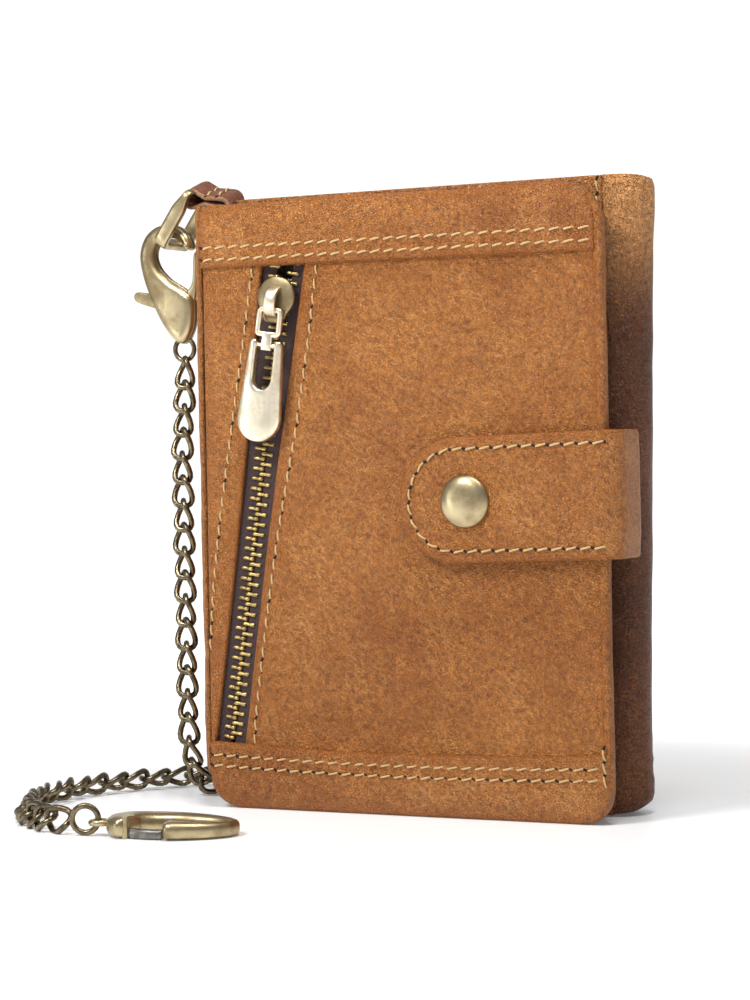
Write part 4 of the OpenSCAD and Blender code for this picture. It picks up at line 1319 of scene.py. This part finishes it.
def make_ring():
    """Flat ring that hangs from the leather loop and carries the clasp."""
    slope = math.radians(54.5)
    along = Vector((-math.cos(slope), 0, -math.sin(slope)))
    start = Vector((-50.4, 0, 123.3))
    length, half, r = 11.9, 4.6, 1.1
    flat = (arc(length - r, half - r, r, 0, 90, 6) + arc(r, half - r, r, 90, 180, 6)
            + arc(r, -half + r, r, 180, 270, 6) + arc(length - r, -half + r, r, 270, 360, 6))
    flat = resample(flat, 0.8)
    path = [start + along * a + Vector((0, 1, 0)) * b for a, b in flat]
    normal = along.cross(Vector((0, 1, 0)))

    def section(i):
        wide = 0.8 + 0.75 * min(1, max(0, (flat[i][0] - 0.8) / 3))
        return oval_section(0.75, wide, 14, 0.45)

    mesh_object("ring_band", *sweep(path, section, True, tuple(normal)),
                BRASS_MAT, "clasp", "brass", stands_for="loop_ring")


def make_clasp():
    """Two halves of the claw, its thumb lever and rivet, and the jump ring of the chain."""
    outline = smooth_line([
        (-53.2, 93.2), (-55.6, 93.7), (-58.6, 97.2), (-61.3, 102.4), (-63.1, 107.4), (-63.7, 111.4),
        (-62.6, 114.8), (-60.2, 116.9), (-57, 117.5), (-54.1, 116.8), (-52.0, 115), (-51.1, 112.7),
        (-52.0, 112.0), (-53.0, 112.6), (-54.4, 114.2), (-57, 114.8), (-59.2, 113.7), (-60.1, 111.4),
        (-59.2, 108.8), (-56.6, 106.2), (-53.6, 104.4), (-51.3, 102.4), (-50.9, 99.6), (-51.4, 96.0)],
        5, True)

    def round_over(u, v):
        return -0.3 * max(0.0, 1 - abs(v - 98) / 7) * ((u + 54.5) / 5) ** 2

    for name, place, node in (("clasp_front", facing_front(CLASP_Y + 0.6), "clasp_body"),
                              ("clasp_back", facing_back(CLASP_Y - 0.6), None)):
        plate(name, outline, 2.3, place, BRASS_MAT, "clasp", "brass", 1.35, round_over, 0.8, 0.6, 0.02,
              node)
    lever = smooth_line([
        (-50.3, 110.8), (-51.1, 110.8), (-51.8, 104.8), (-55.4, 103.2), (-60, 103.3), (-64.9, 104.0),
        (-65.2, 102.2), (-61.4, 100.8), (-56.6, 99.7), (-53.2, 100.0), (-50.8, 102.6)], 5, True)
    plate("clasp_thumb_lever", lever, 1.3, facing_front(CLASP_Y + 0.65), BRASS_MAT, "clasp_lever",
          "brass", 0.35, None, 0.8, 0.5, 0.35, stands_for="clasp_lever")
    circle = [Vector((-53.9 + 2.25 * math.cos(t), CLASP_Y, 91.9 + 2.25 * math.sin(t))) for t in angles(36)]
    mesh_object("jump_ring_wire", *sweep(circle, lambda i: oval_section(0.5, 0.5, 10), True),
                CHAIN_MAT, "clasp", "gunmetal", stands_for="jump_ring")
    profile = [(0.01, -1.2), (0.9, -1.15), (0.9, 1.15), (0.01, 1.2)]
    mesh_object("clasp_rivet", *lathe(profile, lambda x, y, h: (-55.4 + x, CLASP_Y - h, 101 + y), 24),
                BRASS_MAT, "clasp", "brass", stands_for="clasp_pin")


CLIP_HALF_L, CLIP_HALF_W = 10.4, 5.75      # middle line of the clip's oval


def clip_point(x, y, z):
    """Point from the clip's own frame, which has X along the clip."""
    c, s = math.cos(CLIP_TURN), math.sin(CLIP_TURN)
    return (CLIP_AT[0] + x * c - y * s, CLIP_AT[1] + x * s + y * c, z)


def clip_bar(first, stop, steps, wide, tall):
    """Bar along the clip's oval between two angles. wide(t) and tall(t) are half of its section's sides."""
    path, sizes = [], []
    for k in range(steps + 1):
        t = math.radians(first + (stop - first) * k / steps)
        path.append(clip_point(0.85 + CLIP_HALF_L * math.cos(t), 0.1 + CLIP_HALF_W * math.sin(t),
                               tall(t) + 0.05))
        pinch = 0.8 if k in (0, steps) else 1
        sizes.append((wide(t) * pinch, tall(t) * pinch))
    return sweep(path, lambda i: oval_section(*sizes[i], 16, 0.75), False, (0, 0, 1))


def make_clip():
    """Oval clip with its eye, lying on the floor, and the gate that closes it."""
    def wide(t):
        return 1.15 + 1.0 * (1 - math.cos(t)) + 0.35 * max(0, math.sin(t)) * (1 - math.cos(t))

    def tall(t):
        return 1.4 + 0.33 * (1 - math.cos(t))

    body = clip_bar(-97, 217, 84, wide, tall)
    eye = sweep([clip_point(-14.0 + 1.5 * math.cos(t), 1.4 * math.sin(t), 2.5) for t in angles(28)],
                lambda i: oval_section(0.62, 0.62, 10), True, (0, 0, 1))
    mesh_object("clip_frame", *joined(body, eye), BRASS_MAT, "chain_end", "brass", stands_for="clip_body")
    mesh_object("clip_gate_bar", *clip_bar(-146, -98.5, 16, lambda t: 0.9, lambda t: 0.95),
                STEEL_MAT, "clip_gate", "brass", stands_for="clip_gate")


# ---- Put everything in place ----

def dress(material, *names):
    """Gives CAD nodes that keep their shape a finished material."""
    for name in names:
        thing = nodes[name]
        thing.data.materials.clear()
        thing.data.materials.append(material)


def light(name, place, aim, power, size):
    data = bpy.data.lights.new(name, "AREA")
    data.energy = power
    data.shape = "RECTANGLE"
    data.size, data.size_y = size
    lamp = bpy.data.objects.new(name, data)
    bpy.context.scene.collection.objects.link(lamp)
    lamp.location = place
    lamp.rotation_euler = (Vector(aim) - Vector(place)).to_track_quat("-Z", "Y").to_euler()


def make_stage():
    """White floor that grows brighter away from the wallet, a white world behind it, and three lamps."""
    n = Nodes("white_floor")
    haze = n.texture("ShaderNodeTexNoise", 3, Detail=2.0)
    tone = n.ramp(haze.outputs["Fac"], [(0.3, (0.9, 0.9, 0.905)), (0.7, (0.93, 0.93, 0.93))])
    away = n.add("ShaderNodeVectorMath", operation="LENGTH")
    n.join(n.place, away.inputs[0])
    glow = n.smooth_step(away.outputs["Value"], 0.07, 0.22, 0.08, 0.75)
    material = n.set(Base_Color=tone, Roughness=0.4, Specular_IOR_Level=0.3, Emission_Color=tone,
                     Emission_Strength=glow)
    far = 3000
    floor = mesh_object("floor", [(-far, -far, 0), (far, -far, 0), (far, far, 0), (-far, far, 0)],
                        [(0, 1, 2, 3)], material)
    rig.stage(floor)
    bpy.context.scene.view_settings.view_transform = "Standard"
    world = bpy.data.worlds.new("studio")
    bpy.context.scene.world = world
    world.use_nodes = True
    tree = world.node_tree
    place = tree.nodes.new("ShaderNodeTexCoord")
    facing = tree.nodes.new("ShaderNodeVectorMath")
    facing.operation = "DOT_PRODUCT"
    facing.inputs[1].default_value = (-0.46, 0.88, -0.1)
    spread = tree.nodes.new("ShaderNodeMapRange")
    spread.interpolation_type = "SMOOTHSTEP"
    for name, value in (("From Min", 0.72), ("From Max", 0.94), ("To Min", 0.3), ("To Max", 1.1)):
        spread.inputs[name].default_value = value
    back = tree.nodes["Background"]
    back.inputs["Color"].default_value = (1, 1, 1, 1)
    tree.links.new(place.outputs["Generated"], facing.inputs[0])
    tree.links.new(facing.outputs["Value"], spread.inputs["Value"])
    tree.links.new(spread.outputs["Result"], back.inputs["Strength"])
    light("key", (-0.13, -0.35, 0.44), (0, 0, 0.07), 1.95, (0.14, 0.14))
    light("low", (-0.6, -0.6, 0.12), (0, 0, 0.05), 0.8, (0.1, 0.4))
    light("top", (0.1, -0.1, 0.5), (0, 0, 0.1), 1.3, (0.15, 0.15))


make_flap()
make_back()
make_loop()
make_stitches(make_strap())
make_zip()
make_slider()
make_pull()
make_snap()
make_ring()
make_clasp()
make_clip()
dress(BACK_MAT, "card_slot_1", "card_slot_2", "card_slot_3", "bottom_fold", "id_frame")
dress(CLOTH_MAT, "bill_divider", "coin_lining")
dress(FILM_MAT, "id_film")
dress(TEETH_MAT, "zip_bottom_stop")
dress(BRASS_MAT, "snap_stud", "snap_socket", "clasp_spring", "clip_pin")
dress(CHAIN_MAT, "end_ring")
make_stage()

clip_pieces = [nodes["end_ring"], bpy.data.objects["clip_frame"], bpy.data.objects["clip_gate_bar"],
               nodes["clip_pin"]]
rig.cord(chain_upper, exit=in_metres(upper_path)[0], length=round(upper_length * MM, 4),
        diameter=CHAIN_W * MM, far_end="connector", stiffness="limp", lay="hanging",
        path=in_metres(upper_path), with_pieces=[join_link])
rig.cord(chain_lower, exit=in_metres(lower_path)[0], length=round(lower_length * MM, 4),
        diameter=CHAIN_W * MM, far_end="connector", stiffness="limp", lay="loose",
        path=in_metres(lower_path), with_pieces=clip_pieces)
print("chain lengths", round(upper_length, 1), round(lower_length, 1))


def plain_numbers(box):
    """A box as lists that json can write."""
    return [[float(c) for c in corner] for corner in box]


with open("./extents.json", "w") as out:
    json.dump({"cad": plain_numbers(cad_box), "visual": plain_numbers(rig.bounds())}, out)
